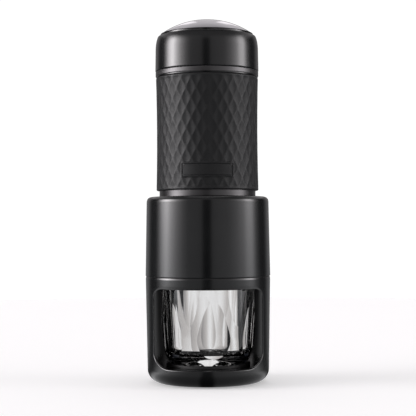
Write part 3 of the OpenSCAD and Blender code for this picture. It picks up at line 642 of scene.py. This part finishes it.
def smooth_copy(node: str, finish: Finish, body: str, bevel: float = 0.12,
                sharp: float = 32.0) -> bpy.types.Object:
    """Stands a merged, smooth-lit and bevelled copy in for a CAD node.

    Args:
        node: the CAD node.
        finish: its material.
        body: the body that it belongs to.
        bevel: width of its bevels, in mm.
        sharp: edges over this many degrees stay sharp.

    Returns:
        The piece.
    """
    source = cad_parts[node].data
    co = np.empty(len(source.vertices) * 3, np.float32)
    source.vertices.foreach_get("co", co)
    corners = np.empty(len(source.loops), np.int32)
    source.loops.foreach_get("vertex_index", corners)
    mesh = bpy.data.meshes.new(node + "_fine")
    mesh.from_pydata(co.reshape(-1, 3).tolist(), [], corners.reshape(-1, 3).tolist())
    merge(mesh, 1e-6, math.radians(0.4))
    return finish_piece(node + "_fine", mesh, finish, body, (node,), sharp, bevel)


def smooth_copies(body: str, *rows: tuple[str, Finish, float]) -> None:
    """Stands copies in for several CAD nodes of a body: (node, finish, bevel in mm)."""
    for node, finish, bevel in rows:
        smooth_copy(node, finish, body, bevel)


# ---- Cup holder ----


@dataclass
class CupHolder:
    """The black sleeve round the cup, with a window cut through its front and back."""

    top_r: float = 37.95
    low_r: float = 37.0
    foot_z: float = 8.5
    foot_flat_r: float = 29.0
    bottom_z: float = 0.5
    top_z: float = 64.6
    bore_r: float = 34.2
    lip_r: float = 34.7
    lip_in_r: float = 32.7
    lip_z: float = 58.9
    lip_top_z: float = 70.6
    floor_z: float = 10.4
    window_x: float = 32.3
    back_window_x: float = 24.5
    window_low: float = 10.8
    window_high: float = 57.5
    low_corner: float = 9.0
    high_corner: float = 4.5
    edge: float = 0.75
    high_edge: float = 2.0
    ease_h: float = 1.4
    slope_h: float = 0.8
    seat_r: float = 27.0
    across: int = 96
    up: int = 56

    def wall_r(self, z: np.ndarray) -> np.ndarray:
        """Outer radius at a height: straight from the foot fillet to the top."""
        rise = self.top_z - self.foot_z
        return self.low_r + (self.top_r - self.low_r) * (z - self.foot_z) / rise

    def window(self, half: float, grow: float = 0.0, grow_up: float = 0.0) -> np.ndarray:
        """A window's outline as (x, z), matched to the panel's outline.

        Formula: four straight sides joined by quarter circles, walked from the middle
        of one corner arc to the middle of the next in even steps of length.

        Args:
            half: half the window's width.
            grow: distance that the outline lies outside the opening.
            grow_up: the same for its upper side.

        Returns:
            Points, from the low left corner rightwards and round.
        """
        x, low, high = half + grow, self.window_low - grow, self.window_high + grow_up
        q, p = self.low_corner + grow, self.high_corner + grow_up
        bends = [arc(-x + q, low + q, q, 180, 270, 25), arc(x - q, low + q, q, 270, 360, 25),
                 arc(x - p, high - p, p, 0, 90, 25), arc(-x + p, high - p, p, 90, 180, 25)]
        sides = []
        for k, steps in enumerate((self.across, self.up, self.across, self.up)):
            walk = np.vstack([bends[k][12:], bends[(k + 1) % 4][:13]])
            parts = np.linalg.norm(np.diff(walk, axis=0), axis=1)
            length = np.concatenate([[0], np.cumsum(parts)])
            even = np.linspace(0, length[-1], steps + 1)[:-1]
            sides.append(np.stack([np.interp(even, length, walk[:, i]) for i in (0, 1)], -1))
        return np.vstack(sides)

    def frame_outline(self, z_low: float, z_high: float) -> np.ndarray:
        """The panel's outline as (angle, z), from its low left corner and round."""
        t = np.linspace(-math.pi, 0, self.across + 1)[:-1]
        z = np.linspace(z_low, z_high, self.up + 1)[:-1]
        low = np.stack([t, np.full_like(t, z_low)], -1)
        right = np.stack([np.zeros_like(z), z], -1)
        high = np.stack([-math.pi - t, np.full_like(t, z_high)], -1)
        left = np.stack([np.full_like(z, -math.pi), z_high + z_low - z], -1)
        return np.vstack([low, right, high, left])

    def panel(self, outline: np.ndarray, radius: Any, z_low: float, z_high: float,
              rows: int = 14) -> np.ndarray:
        """A half wall round the window.

        Formula: a point lies a share s of the way, in angle and height, from the
        window's outline to the panel's outline, on the wall's radius. The shares are
        even steps to the power 1.25, so that rows crowd towards the window.

        Args:
            outline: the window's (x, z) points on this wall.
            radius: the wall's radius as a function of height.
            z_low: lowest height of the panel.
            z_high: highest height.
            rows: steps between the outlines.

        Returns:
            Rows by points by 3.
        """
        inner_t = -np.arccos(np.clip(outline[:, 0] / radius(outline[:, 1]), -1, 1))
        rim = self.frame_outline(z_low, z_high)
        s = (np.linspace(0, 1, rows + 1) ** 1.25)[:, None]
        t = (1 - s) * inner_t + s * rim[:, 0]
        z = (1 - s) * outline[:, 1] + s * rim[:, 1]
        return polar(radius(z), t, z)

    def half_wall(self, half: float) -> Surface:
        """The front half of the wall, outside and inside, round a window with rounded edges.

        Formula: each edge is (1-s)^2 rim + 2 s (1-s) corner + s^2 wall, with the rim on
        the face, the corner at the window's line and the wall inside the opening.

        Args:
            half: half the window's width.

        Returns:
            The half wall.
        """
        outside = self.panel(self.window(half, self.edge, self.high_edge), self.wall_r,
                             self.foot_z, self.top_z - self.ease_h)
        inside = self.panel(self.window(half, 0.3, 0.3), lambda z: np.full_like(z, self.bore_r),
                            self.floor_z + 0.05, self.lip_z - self.slope_h)
        line = self.window(half)
        face_y = -np.sqrt(self.wall_r(line[:, 1]) ** 2 - line[:, 0] ** 2)
        back_y = -np.sqrt(self.bore_r**2 - line[:, 0] ** 2)
        corner = np.stack([line[:, 0], face_y, line[:, 1]], -1)
        reach = np.linalg.norm(outside[0] - corner, axis=1)
        wall = np.stack([line[:, 0], face_y + np.minimum(reach, 2.4) * 0.9, line[:, 1]], -1)
        s = np.linspace(0, 1, 7)[:, None, None]
        bend = (1 - s) ** 2 * outside[0] + 2 * s * (1 - s) * corner + s**2 * wall
        back_corner = np.stack([line[:, 0], back_y, line[:, 1]], -1)
        before = np.stack([line[:, 0], back_y - 0.3, line[:, 1]], -1)
        back_bend = (1 - s) ** 2 * before + 2 * s * (1 - s) * back_corner + s**2 * inside[0]
        rows = np.concatenate([outside[::-1], bend[1:], back_bend, inside[1:]])
        return grid(rows, wrap_cols=True).flipped()

    def side_wall(self) -> Surface:
        """The wall's front half, and its back half: (x, y) turned to (-x, -y)."""
        front, back = self.half_wall(self.window_x), self.half_wall(self.back_window_x)
        return front + Surface(back.verts * np.array([-1.0, -1.0, 1.0]), back.faces)

    def rings(self) -> Surface:
        """The turned parts above and below the wall, on the wall's own columns."""
        cols = 2 * self.across
        q = self.foot_z - self.bottom_z
        fillet = arc(self.foot_flat_r, self.bottom_z + q, q, -90, 0, 15)
        seat = [(0.0, 5.6), (25.8, 5.6), (25.8, 2.9), (self.seat_r, 2.9), (self.seat_r, 0.65),
                (self.seat_r + 0.15, self.bottom_z), (self.seat_r + 0.5, self.bottom_z)]
        low = np.vstack([seat, fillet[:-1], [(self.low_r, self.foot_z)]])
        r, z, eased_z = self.top_r, self.top_z, self.top_z - self.ease_h
        top = np.vstack([
            [(float(self.wall_r(eased_z)), eased_z)],
            rounded([(r - 0.02, eased_z, 0), (r - 0.04, z - 1.15, 0.4),
                     (r - 0.2, z - 0.35, 0.2), (r - 0.35, z, 0.25),
                     (self.lip_r, z, 0.1), (self.lip_r, self.lip_top_z, 0.4),
                     (self.lip_in_r, self.lip_top_z, 0.4), (self.lip_in_r, self.lip_z, 0.3),
                     (self.bore_r, self.lip_z - self.slope_h, 0)], closed=False)[1:]])
        inner = np.array([(self.bore_r, self.floor_z + 0.05),
                          (self.bore_r - 0.05, self.floor_z), (0.0, self.floor_z)])
        return functools.reduce(lambda one, other: one + other,
                                [turned(profile, cols, False) for profile in (low, top, inner)])

    def build(self) -> None:
        """Adds the sleeve."""
        add_piece("holder_sleeve", self.side_wall() + self.rings(), SHELL, "holder",
                  ("cup_holder",), sharp=38)


@dataclass
class Base:
    """The plate, screws and rubber ring under the holder, and the pad in it."""

    def build(self) -> None:
        """Adds the pieces of the base."""
        smooth_copies("holder", ("base_plate", INNER, 0.15), ("base_screws", STEEL, 0.1))
        tread = [(21.9, 2.1, 0.2), (21.9, 0.0, 0.5), (22.9, 0.0, 0.0), (22.9, 0.35, 0.15),
                 (24.1, 0.35, 0.15), (24.1, 0.0, 0.0), (25.1, 0.0, 0.5), (25.1, 2.1, 0.2)]
        add_piece("tread_ring", turned(rounded(tread, steps=3)), SEAL, "holder", ("foot_ring",))
        smooth_copies("holder", ("cup_pad", SEAL, 0.25), ("seam_seal", SEAL, 0.1))


# ---- Glass cup ----


@dataclass
class GlassCup:
    """A thick pressed tumbler: tall leaning facets, a star under its foot, petals in its well."""

    z: float = 11.2
    foot_r: float = 22.4
    r: float = 28.4
    top_z: float = 62.4
    heel_h: float = 20.0
    wall: float = 4.2
    well_h: float = 6.8
    rim_round: float = 1.4
    lip_round: float = 1.2
    well_round: float = 4.0
    foot_ring_w: float = 2.0
    foot_hollow: float = 0.4
    low_start: float = 5.0
    low_end: float = 6.0
    high_later: float = 6.0
    high_sooner: float = 2.0
    cuts: int = 6
    turn: float = math.radians(37)
    low_depth: float = 2.9
    high_depth: float = 0.7
    fade: float = 0.5
    per_part: int = 12
    star: int = 16
    star_depth: float = 2.6
    petals: int = 12
    petal_depth: float = 1.0

    def outline(self) -> np.ndarray:
        """The uncut outside as (r, z): r = 22.4 + 6 sin(a)^1.6, z = 11.2 + 20 (1 - cos a)."""
        a = np.linspace(0, math.pi / 2, 44)
        heel = np.stack([self.foot_r + (self.r - self.foot_r) * np.sin(a) ** 1.6,
                         self.z + self.heel_h * (1 - np.cos(a))], -1)
        q = self.rim_round
        rise = np.linspace(self.z + self.heel_h, self.top_z - q, 40)[1:]
        wall = np.stack([np.full_like(rise, self.r), rise], -1)
        rim = arc(self.r - q, self.top_z - q, q, 0, 90, 9)[1:]
        return np.vstack([heel, wall, rim])

    def cut_distance(self, z: np.ndarray, low: bool) -> np.ndarray:
        """Distance of a facet's plane from the axis; it leans evenly with height."""
        low_z, high_z = self.z + self.low_start, self.top_z - self.low_end
        if low:
            lean = (self.low_depth + self.fade) * (z - low_z) / (high_z - low_z)
            return self.r - self.low_depth + lean
        low_z, high_z = low_z + self.high_later, high_z - self.high_sooner
        lean = (self.high_depth + self.fade) * (z - low_z) / (high_z - low_z)
        return self.r + self.fade - lean

    def outside(self) -> np.ndarray:
        """The cut outside, with columns that follow the facets' edges.

        Formula: between the middle of a low facet (angle 0) and of the next high facet
        (angle m) the radius is min(outline, low / cos t, high / cos(m - t)). The columns
        are spread between 0, the end of the low facet, the start of the high one and m.
        Below the first facet they spread out evenly towards the foot.

        Returns:
            Rows by columns by 3, from the foot up.
        """
        line = self.outline()
        prof, z = line[:, 0], line[:, 1]
        low, high = self.cut_distance(z, True), self.cut_distance(z, False)
        m = math.pi / self.cuts
        end_low = np.arccos(np.clip(low / prof, -1, 1))
        start_high = m - np.arccos(np.clip(high / prof, -1, 1))
        meet = np.clip(np.arctan2(high - low * math.cos(m), low * math.sin(m)), 0, m)
        crossed = end_low > start_high
        end_low = np.where(crossed, meet, end_low)[:, None]
        start_high = np.where(crossed, meet, start_high)[:, None]
        s = np.linspace(0, 1, self.per_part + 1)[None, :-1]
        t = np.hstack([end_low * s, end_low + (start_high - end_low) * s,
                       start_high + (m - start_high) * s])
        even = np.linspace(0, m, t.shape[1] + 1)[None, :-1]
        first_cut = z[np.argmax(low < prof)]
        follow = np.clip((z - self.z) / (first_cut - self.z), 0, 1)[:, None]
        t = even + (t - even) * follow
        cut = np.minimum(low[:, None] / np.cos(t), high[:, None] / np.cos(m - t))
        r = np.minimum(prof[:, None], cut)
        last = np.minimum(prof, high)[:, None]
        # The span from the high facet's middle back to the next low one is mirrored
        t_all = np.hstack([t, np.full_like(last, m), 2 * m - t[:, :0:-1]])
        r_all = np.hstack([r, last, r[:, :0:-1]])
        turns = np.arange(self.cuts) * 2 * m + self.turn
        t_full = (t_all[:, None, :] + turns[None, :, None]).reshape(len(z), -1)
        return polar(np.tile(r_all, (1, self.cuts)), t_full, z[:, None])

    @staticmethod
    def pressed(radii: np.ndarray, t: np.ndarray, z: float, count: int,
                depth: float) -> np.ndarray:
        """A disc with a pressed star.

        Formula: the height is z plus the depth times a triangle wave of that many rays
        round the turn. It fades to z over the last tenth before the rim, and over the
        first eighth from the middle.

        Args:
            radii: the rows' radii, from the rim inwards.
            t: the columns' angles.
            z: height of the flat places.
            count: rays of the star.
            depth: full height of the relief.

        Returns:
            Rows by columns by 3.
        """
        wave = 1 - np.abs(2 * ((t * count / (2 * math.pi)) % 1.0) - 1)
        share = radii / radii[0]
        strength = np.clip((1 - share) * 10, 0, 1) * np.clip(share * 8, 0, 1)
        return polar(radii[:, None], t[None], z + depth * strength[:, None] * wave[None])

    def build(self) -> None:
        """Adds the cup; its lining and foot meet the outside's end rows."""
        outside = self.outside()
        t = np.arctan2(outside[0, :, 1], outside[0, :, 0])
        foot_z, flat_r = self.z + self.foot_hollow, self.foot_r - self.foot_ring_w
        edge = polar(np.array([[flat_r], [flat_r - 0.4]]), t[None],
                     np.array([[self.z], [foot_z]]))
        foot = self.pressed(np.linspace(flat_r - 0.6, 0, 15), t, foot_z, self.star,
                            self.star_depth)
        rim_t = np.arctan2(outside[-1, :, 1], outside[-1, :, 0])
        in_r, well_z = self.r - self.wall, self.z + self.well_h
        p, q = self.lip_round, self.well_round
        lip = arc(in_r + p, self.top_z - p, p, 90, 180, 9)
        bowl = arc(in_r - p - q, well_z + q, q, 0, -90, 11)
        down = np.linspace(0, 1, 24)[1:-1, None]
        rows = np.vstack([lip, lip[-1] * (1 - down) + bowl[0] * down, bowl])
        ease = np.linspace(0, 1, len(rows))[:, None]
        turn = (t - rim_t + math.pi) % (2 * math.pi) - math.pi
        lining = polar(rows[:, :1], rim_t[None] + turn[None] * ease, rows[:, 1:])
        well = self.pressed(np.linspace(bowl[-1, 0] - 0.4, 0, 14), t, well_z, self.petals,
                            self.petal_depth)
        body = np.concatenate([foot[::-1], edge[::-1], outside, lining, well])
        add_piece("cut_tumbler", grid(body, wrap_cols=True), GLASS, "cup", ("glass_cup",),
                  sharp=4.0)


# ---- Brewing collar ----


@dataclass
class Collar:
    """The black collar over the cup holder, with the brewing bowl hung in it."""

    def build(self) -> None:
        """Adds the collar, its bowl and what the bowl carries."""
        shell = [(38.0, 64.85, 0.25), (37.1, 112.8, 3.7), (29.6, 112.8, 0.5), (29.6, 109.8, 0.0),
                 (35.0, 109.8, 0.3), (35.0, 65.15, 0.3), (37.35, 65.15, 0.05), (37.4, 64.85, 0.1)]
        body = turned(rounded(shell, steps=9), 224)
        add_piece("collar_skin", body + lugs(33.2, 35.05, 66.6), SHELL, "collar", ("collar_shell",))
        smooth_copies("collar", ("brewing_bowl", INNER, 0.15), ("bowl_screws", STEEL, 0.08),
                      ("spout_nozzle", STEEL, 0.12))
        smooth_copy("coffee_basket", STEEL, "basket", 0.06)
        smooth_copy("group_gasket", GASKET, "group_seal", 0.2)


# ---- Water tank and grip ----


@dataclass
class Grip:
    """The rubber sleeve on the tank, moulded with a net of dished diamonds."""

    z: float = 116.5
    top_z: float = 185.0
    waist_r: float = 30.65
    waist: float = 0.45
    skin_r: float = 27.85
    edge: float = 0.9
    diamonds: int = 30
    diamond_h: float = 11.8
    node_z: float = 152.8
    depth: float = 0.34
    badge_z: float = 128.1
    badge_w: float = 31.0
    badge_h: float = 7.4
    line_w: float = 0.6
    line_depth: float = 0.3
    fade_h: float = 1.2
    plate_rim: float = 0.7
    plate_soft: float = 0.5
    plate_rise: float = 0.22
    plate_tone: float = 0.35
    bore_tone: float = 0.3
    cols: int = 420
    rows: int = 190

    def dish(self, t: np.ndarray, z: np.ndarray) -> np.ndarray:
        """Height of the net of diamonds: 0 on its ridges, 1 in the middle of a dish.

        Formula: with u the diamonds round from the front and v the diamonds up from a
        crossing, a and b are how far u + v and u - v lie from a whole number, doubled;
        the dish is (1 - (1 - a)^2) (1 - (1 - b)^2).
        """
        u = (t - FRONT) / (2 * math.pi) * self.diamonds
        v = (z - self.node_z) / self.diamond_h
        a, b = (1 - 2 * np.abs((w % 1.0) - 0.5) for w in (u + v, u - v))
        return (1 - (1 - a) ** 2) * (1 - (1 - b) ** 2)

    def outside(self) -> Surface:
        """The moulded outside.

        Formula: r = waist_r + waist * h^2 - depth * dish, where h runs from -1 at the
        foot to 1 at the top. Both ends round off as a quarter circle, and the dishes
        fade there and round the bare plate at the front, which stands a little proud
        with its frame's line cut in.

        Returns:
            The surface, open at both ends, with the ridge number kept.
        """
        low, high = self.z + self.edge, self.top_z - self.edge
        ends = np.radians(np.linspace(0, 90, 7)[1:])
        z_mid = np.linspace(low, high, self.rows)
        out, back = self.edge * np.sin(ends), self.edge * (1 - np.cos(ends))
        z_ends = np.concatenate([low - out[::-1], z_mid, high + out])
        pull = np.concatenate([back[::-1], np.zeros(self.rows), back])
        t = FRONT + np.linspace(0, 2 * math.pi, self.cols, endpoint=False)
        t, z = np.meshgrid(t, z_ends)
        h = np.clip((z - (self.z + self.top_z) / 2) / ((self.top_z - self.z) / 2 - 0.5), -1, 1)
        fade = np.clip(np.minimum(z - low, high - z) / self.fade_h, 0, 1)
        turn = (t - FRONT + math.pi) % (2 * math.pi) - math.pi
        across = np.abs(turn) * (self.waist_r + 0.5) - self.badge_w / 2
        above = np.abs(z - self.badge_z) - self.badge_h / 2
        outside_plate = np.maximum(across, above)
        plate = np.clip(0.5 - (outside_plate - self.plate_rim) / self.plate_soft, 0, 1)
        dish = self.dish(t, z) * fade * (1 - plate)
        r = self.waist_r + self.waist * h**2 - self.depth * dish - pull[:, None]
        r = r + self.plate_rise * plate
        inside_line = (outside_plate < 0.0) & (outside_plate > -self.line_w)
        r = r - self.line_depth * inside_line
        made = grid(polar(r, t, z), wrap_cols=True)
        made.numbers["ridge"] = np.where(plate > 0.4, self.plate_tone,
                                         np.where(inside_line, 0.0, 1 - dish))
        return made

    def build(self) -> None:
        """Adds the sleeve; its bore closes it."""
        outside = self.outside()
        points = outside.verts.reshape(-1, self.cols, 3)
        unit = points[0] * np.array([1.0, 1.0, 0.0])
        unit /= np.linalg.norm(unit, axis=1, keepdims=True)
        top, low = (unit * self.skin_r + np.array([0, 0, z]) for z in (self.top_z, self.z))
        body = np.concatenate([points, top[None], low[None]])
        made = grid(body, wrap_rows=True, wrap_cols=True)
        bore = np.full((2, self.cols), self.bore_tone)
        made.numbers["ridge"] = np.concatenate([outside.numbers["ridge"], bore])
        add_piece("diamond_grip", made, GRIP, "tank", ("grip_sleeve",), sharp=30)


@dataclass
class Tank:
    """The water tank with its shower screen, neck band and mouth seal."""

    def build(self) -> None:
        """Adds the tank's pieces."""
        smooth_copies("tank", ("water_tank", INNER, 0.12), ("shower_screen", STEEL, 0.06),
                      ("shower_screw", STEEL, 0.1))
        band = rounded(block(27.85, 29.25, 110.8, 116.5, 0.1, 0.15))
        add_piece("neck_trim", turned(band, 200), NECK, "tank", ("neck_band",))
        smooth_copy("mouth_seal", SEAL, "tank_seal", 0.1)
        Grip().build()


# ---- Pump ----


@dataclass
class Pump:
    """The pump body that hangs in the tank, with its valves and plunger."""

    coil_sharp: float = 70.0

    def build(self) -> None:
        """Adds the pump's pieces."""
        smooth_copy("pump_cap", SHELL, "pump", 0.15)
        trim = rounded(block(30.1, 31.3, 185.7, 188.8, 0.1, 0.55))
        add_piece("chrome_band", turned(trim, 200), TRIM, "pump", ("chrome_ring",))
        smooth_copies("pump", ("guide_bush", BEARING, 0.12), ("pump_cylinder", STEEL, 0.12),
                      ("cylinder_screws", STEEL, 0.08), ("valve_block", INNER, 0.1),
                      ("flap_guide", STEEL, 0.06))
        smooth_copy("inlet_flap", SEAL, "inlet_valve", 0.1)
        smooth_copies("pump", ("outlet_plug", STEEL, 0.06), ("outlet_seal", SEAL, 0.0))
        smooth_copy("outlet_ball", STEEL, "outlet_valve", 0.0)
        spring = smooth_copy("outlet_spring", STEEL, "pump", 0.0, self.coil_sharp)
        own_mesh(spring)
        smooth_copy("return_spring", STEEL, "pump", 0.0, self.coil_sharp)
        smooth_copies("plunger", ("plunger_rod", STEEL, 0.15), ("piston", BEARING, 0.12),
                      ("piston_seal", SEAL, 0.12), ("piston_screw", STEEL, 0.08))


# ---- Pump head ----


@dataclass
class Head:
    """The black pump head with its metal dome."""

    z: float = 189.1
    rim_z: float = 211.5
    low_r: float = 31.45
    high_r: float = 31.25
    dome_r: float = 28.2
    round_h: float = 10.0
    bore_r: float = 29.0
    web_z: float = 204.4
    web_top_z: float = 206.9
    recess_r: float = 26.9
    dome_h: float = 9.0
    wall_z: float = 200.5
    rod_r: float = 2.6
    skirt_z: float = 207.3

    def shell_profile(self) -> np.ndarray:
        """The shell's (r, z): its shoulder is an ellipse up to a groove under the dome."""
        low = rounded([(self.bore_r, self.z + 3, 0), (self.bore_r, self.z, 0.35),
                       (self.low_r, self.z, 0.4), (self.high_r + 0.02, self.wall_z, 0)],
                      closed=False)
        a = np.radians(np.linspace(0, 58, 20))
        wide = self.high_r - self.dome_r
        shoulder = np.stack([self.dome_r + wide * np.cos(a),
                             self.rim_z - self.round_h + self.round_h * np.sin(a)], -1)
        lip_r, lip_z = shoulder[-1]
        groove_r, brim_z = self.dome_r - 0.5, self.rim_z - 0.1
        top = rounded([(lip_r, lip_z, 0), (lip_r - 0.55, lip_z + 0.3, 0.25),
                       (groove_r, lip_z - 0.2, 0.2), (groove_r, brim_z, 0.1),
                       (self.recess_r, brim_z, 0.1), (self.recess_r, self.web_top_z, 0.2),
                       (self.rod_r, self.web_top_z, 0.2), (self.rod_r, self.web_z, 0.2),
                       (self.bore_r, self.web_z, 0.4), (self.bore_r, self.z + 3, 0)], closed=False)
        return np.vstack([low, shoulder[:-1], top[:-1]])

    def dome_profile(self) -> np.ndarray:
        """The dome's (r, z): a sphere's cap with a rolled edge and a skirt.

        Formula: the sphere's radius is (r^2 + h^2) / 2h for a cap of radius r and height h.
        """
        sphere = (self.dome_r**2 + self.dome_h**2) / (2 * self.dome_h)
        centre = self.rim_z + self.dome_h - sphere
        edge = math.asin((self.dome_r - 0.25) / sphere)
        a = np.linspace(edge, 0, 40)
        cap = np.stack([sphere * np.sin(a), centre + sphere * np.cos(a)], -1)
        inner, skirt_in, skirt_out = sphere - 1.3, self.dome_r - 2.3, self.dome_r - 1.4
        b = np.linspace(0, math.asin(skirt_in / inner), 14)
        under = np.stack([inner * np.sin(b), centre + inner * np.cos(b)], -1)
        rim_z = self.rim_z + 0.05
        skirt = np.array([(skirt_in, self.skirt_z), (skirt_out, self.skirt_z), (skirt_out, rim_z),
                          (self.dome_r - 0.1, rim_z), (self.dome_r, self.rim_z + 0.12)])
        return np.vstack([cap, under, skirt])

    def build(self) -> None:
        """Adds the head's pieces."""
        shell = turned(self.shell_profile(), 224)
        add_piece("head_skin", shell + lugs(27.2, 29.05, 191.1), HEAD_SHELL, "head",
                  ("head_shell",))
        add_piece("dome_cap", turned(self.dome_profile(), 200, False), DOME, "head",
                  ("dome_cover",))
        smooth_copies("head", ("head_hub", INNER, 0.15), ("hub_screws", STEEL, 0.08))
        smooth_copy("head_screw", STEEL, "plunger", 0.12)


# ---- Studio ----


@dataclass
class Studio:
    """Camera, floor, and soft light from the sides and above."""

    eye: tuple[float, float, float] = (0.0, -711.0, 92.2)
    lens: float = 100.8
    shift: tuple[float, float] = (0.0007, 0.0546)
    roll: float = math.radians(0.29)
    floor_r: float = 900.0
    floor_z: float = -0.02
    panel_peak: float = 16.0

    def camera(self) -> None:
        """A level camera whose frame is the photograph's."""
        data = bpy.data.cameras.new("camera")
        data.lens, data.sensor_width = self.lens, 36.0
        data.shift_x, data.shift_y = self.shift
        data.clip_start, data.clip_end = 0.01, 20.0
        camera = placed("camera", data)
        camera.location = [place * MM for place in self.eye]
        camera.rotation_euler = (math.pi / 2, self.roll, 0.0)
        bpy.context.scene.camera = camera

    def floor(self) -> None:
        """A pale disc: concentric rings about the origin, just under the object.

        Its light on the object is dimmer than what the camera sees of it, so that
        the black shell stays deep near the table. That light is painted: it follows
        the side panels and the glow by azimuth, and a painted shadow dims it near
        the object's foot. What looks through glass at the floor sees the field colour.
        """
        r = np.array([0.0, 60.0, 200.0, 500.0, self.floor_r])[:, None]
        t = np.linspace(0, 2 * math.pi, 96, endpoint=False)[None]
        surface = grid(polar(r, t, np.full_like(r, self.floor_z)), wrap_cols=True).flipped()
        mesh = bpy.data.meshes.new("floor")
        mesh.from_pydata((surface.verts * MM).tolist(), [], surface.faces[0].tolist())
        floor = placed("floor", mesh)
        material = bpy.data.materials.new("pale_floor")
        material.use_nodes = True
        net = Net(material.node_tree)
        pale = net.principled({
            "Base Color": (0.93, 0.93, 0.935, 1.0), "Roughness": 0.9,
            "Emission Color": (1.0, 1.0, 1.0, 1.0), "Emission Strength": 0.34})
        x, y, _ = net.axes(net.object_coordinates())
        # painted light: the floor's glow for other rays copies the panels' and the glow's levels by
        # azimuth
        panels, glow = self.levels(net, x, y)
        # painted shadow: the glow falls to 0.45 within 30 mm of the axis, under the object, and is
        # full again by 70 mm
        away = (x * x + y * y).math("SQRT").ramped(0.03, 0.07) * 0.55 + 0.45
        strength = (panels * 0.11 + glow * 0.8 + 0.03) * away
        painted_floor_light = net.light("Emission", (0.98, 0.98, 1.0), strength)
        field = net.light("Emission", self.field_colour(net, x, y))
        mix = net.by_ray("Camera", pale, net.by_ray("Transmission", field, painted_floor_light))
        net.node("ShaderNodeOutputMaterial", None, {"Surface": mix.outputs[0]})
        mesh.materials.append(material)

    @staticmethod
    def field_colour(net: Net, x: Value, y: Value) -> bpy.types.NodeSocket:
        """Colour of the field behind the glass, by |x| / y: white, then grey, then black."""
        away = (x / y.math("MAXIMUM", 0.02)).math("ABSOLUTE")
        stops = [(0.0, (0.87, 0.86, 0.87)), (0.06, (0.8, 0.785, 0.79)),
                 (0.15, (0.56, 0.53, 0.525)), (0.28, (0.4, 0.38, 0.378)),
                 (0.48, (0.12, 0.12, 0.125)), (0.8, (0.02, 0.022, 0.028))]
        return net.node("ShaderNodeValToRGB", {"stops": stops}, {"Fac": away}).outputs["Color"]

    def levels(self, net: Net, x: Value, y: Value) -> tuple[Value, Value]:
        """Levels of the side panels and of the even glow, each a ramp over azimuth.

        Args:
            net: the node tree.
            x: the direction's x.
            y: its y; azimuth 0 is -y, towards the camera.

        Returns:
            The panels' level and the glow's.
        """
        az = x.math("ARCTAN2", y * -1.0) / (2 * math.pi) + 0.5
        panels = [(-110, 0.0), (-102, 1.6), (-93, 7.0), (-82, 12.2), (-72, 6.2), (-60, 2.2),
                  (-48, 0.5), (-38, 0.0), (40, 0.0), (56, 0.5), (70, 1.8), (79, 4.6), (89, 4.8),
                  (95, 2.0), (101, 0.3), (112, 0.0)]
        glow = [(-180, 0.28), (-144, 0.28), (-130, 0.03), (-96, 0.03), (-68, 0.6), (-52, 0.6),
                (-36, 0.42), (-12, 0.38), (-7, 0.03), (4, 0.03), (9, 0.42), (36, 0.54),
                (60, 0.72), (84, 0.55), (100, 0.3), (112, 0.06), (128, 0.04), (144, 0.24),
                (180, 0.28)]

        def ramp(levels: Sequence[tuple[float, float]], top: float) -> Value:
            """A ramp over azimuth, in degrees, kept as shares of its top level."""
            stops = [((degrees + 180) / 360, (level / top,) * 3) for degrees, level in levels]
            node = net.node("ShaderNodeValToRGB", {"stops": stops}, {"Fac": az})
            return Value(net, node.outputs["Color"]) * top

        return ramp(panels, self.panel_peak), ramp(glow, 1.0)

    def surround(self) -> None:
        """Soft light from all round.

        Formula: the level light is the side panels times a share that grows from 0.08
        below the horizon to 1.2 at 8 degrees, plus an even glow that a dark gap splits
        in front. Both fade between 17 and 31 degrees into a grey ceiling, with a
        bright panel overhead and two small panes high up behind.
        What looks straight out sees plain white, and what looks out through glass sees
        a white field behind, which greys towards its sides.
        """
        world = bpy.data.worlds.new("studio")
        bpy.context.scene.world = world
        world.use_nodes = True
        net = Net(world.node_tree)
        x, y, z = net.axes(net.node("ShaderNodeTexCoord").outputs["Generated"])
        rise = z.ramped(-0.12, 0.03) * 0.3 + z.ramped(0.02, 0.14) * 0.82 + 0.08
        panels, glow = self.levels(net, x, y)
        walls = panels * rise + glow
        wall_share = 1.0 - z.ramped(0.3, 0.52)
        across = x.math("ABSOLUTE")
        pane = across.ramped(0.055, 0.075) * (1.0 - across.ramped(0.12, 0.16))
        pane = pane * z.ramped(0.37, 0.43) * (1.0 - z.ramped(0.58, 0.66)) * y.ramped(0.0, 0.3)
        ceiling = z.ramped(0.33, 0.42) * (y.ramped(-0.3, 0.3) * 0.3 + 0.3)
        ceiling = ceiling - z.ramped(0.68, 0.86) * 0.2
        strength = walls * wall_share + ceiling + pane * 0.6 + z.ramped(0.9, 0.96) * 0.8
        tint = net.blend(z.ramped(-0.04, 0.12), (0.965, 0.97, 1.0), (1.0, 0.966, 0.985))
        room = net.light("Background", tint, strength)
        white = net.light("Background", (1.0, 1.0, 1.0), 1.05)
        shown = y.ramped(-0.05, 0.1) * (1.0 - z.ramped(0.12, 0.4))
        backdrop = net.light("Background", self.field_colour(net, x, y), shown)
        mix = net.by_ray("Camera", white, net.by_ray("Transmission", backdrop, room))
        net.node("ShaderNodeOutputWorld", None, {"Surface": mix.outputs[0]})

    def build(self) -> None:
        """Sets up camera, floor and light."""
        self.camera()
        self.floor()
        self.surround()
        view = bpy.context.scene.view_settings
        view.view_transform, view.look = "Standard", "None"


def main() -> None:
    """Builds the sub-assemblies in order."""
    logging.basicConfig(level=logging.INFO, format="%(name)s %(message)s")
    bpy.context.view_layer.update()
    Studio().build()
    for assembly in (CupHolder(), Base(), GlassCup(), Collar(), Tank(), Pump(), Head()):
        assembly.build()


if __name__ == "__main__":
    main()
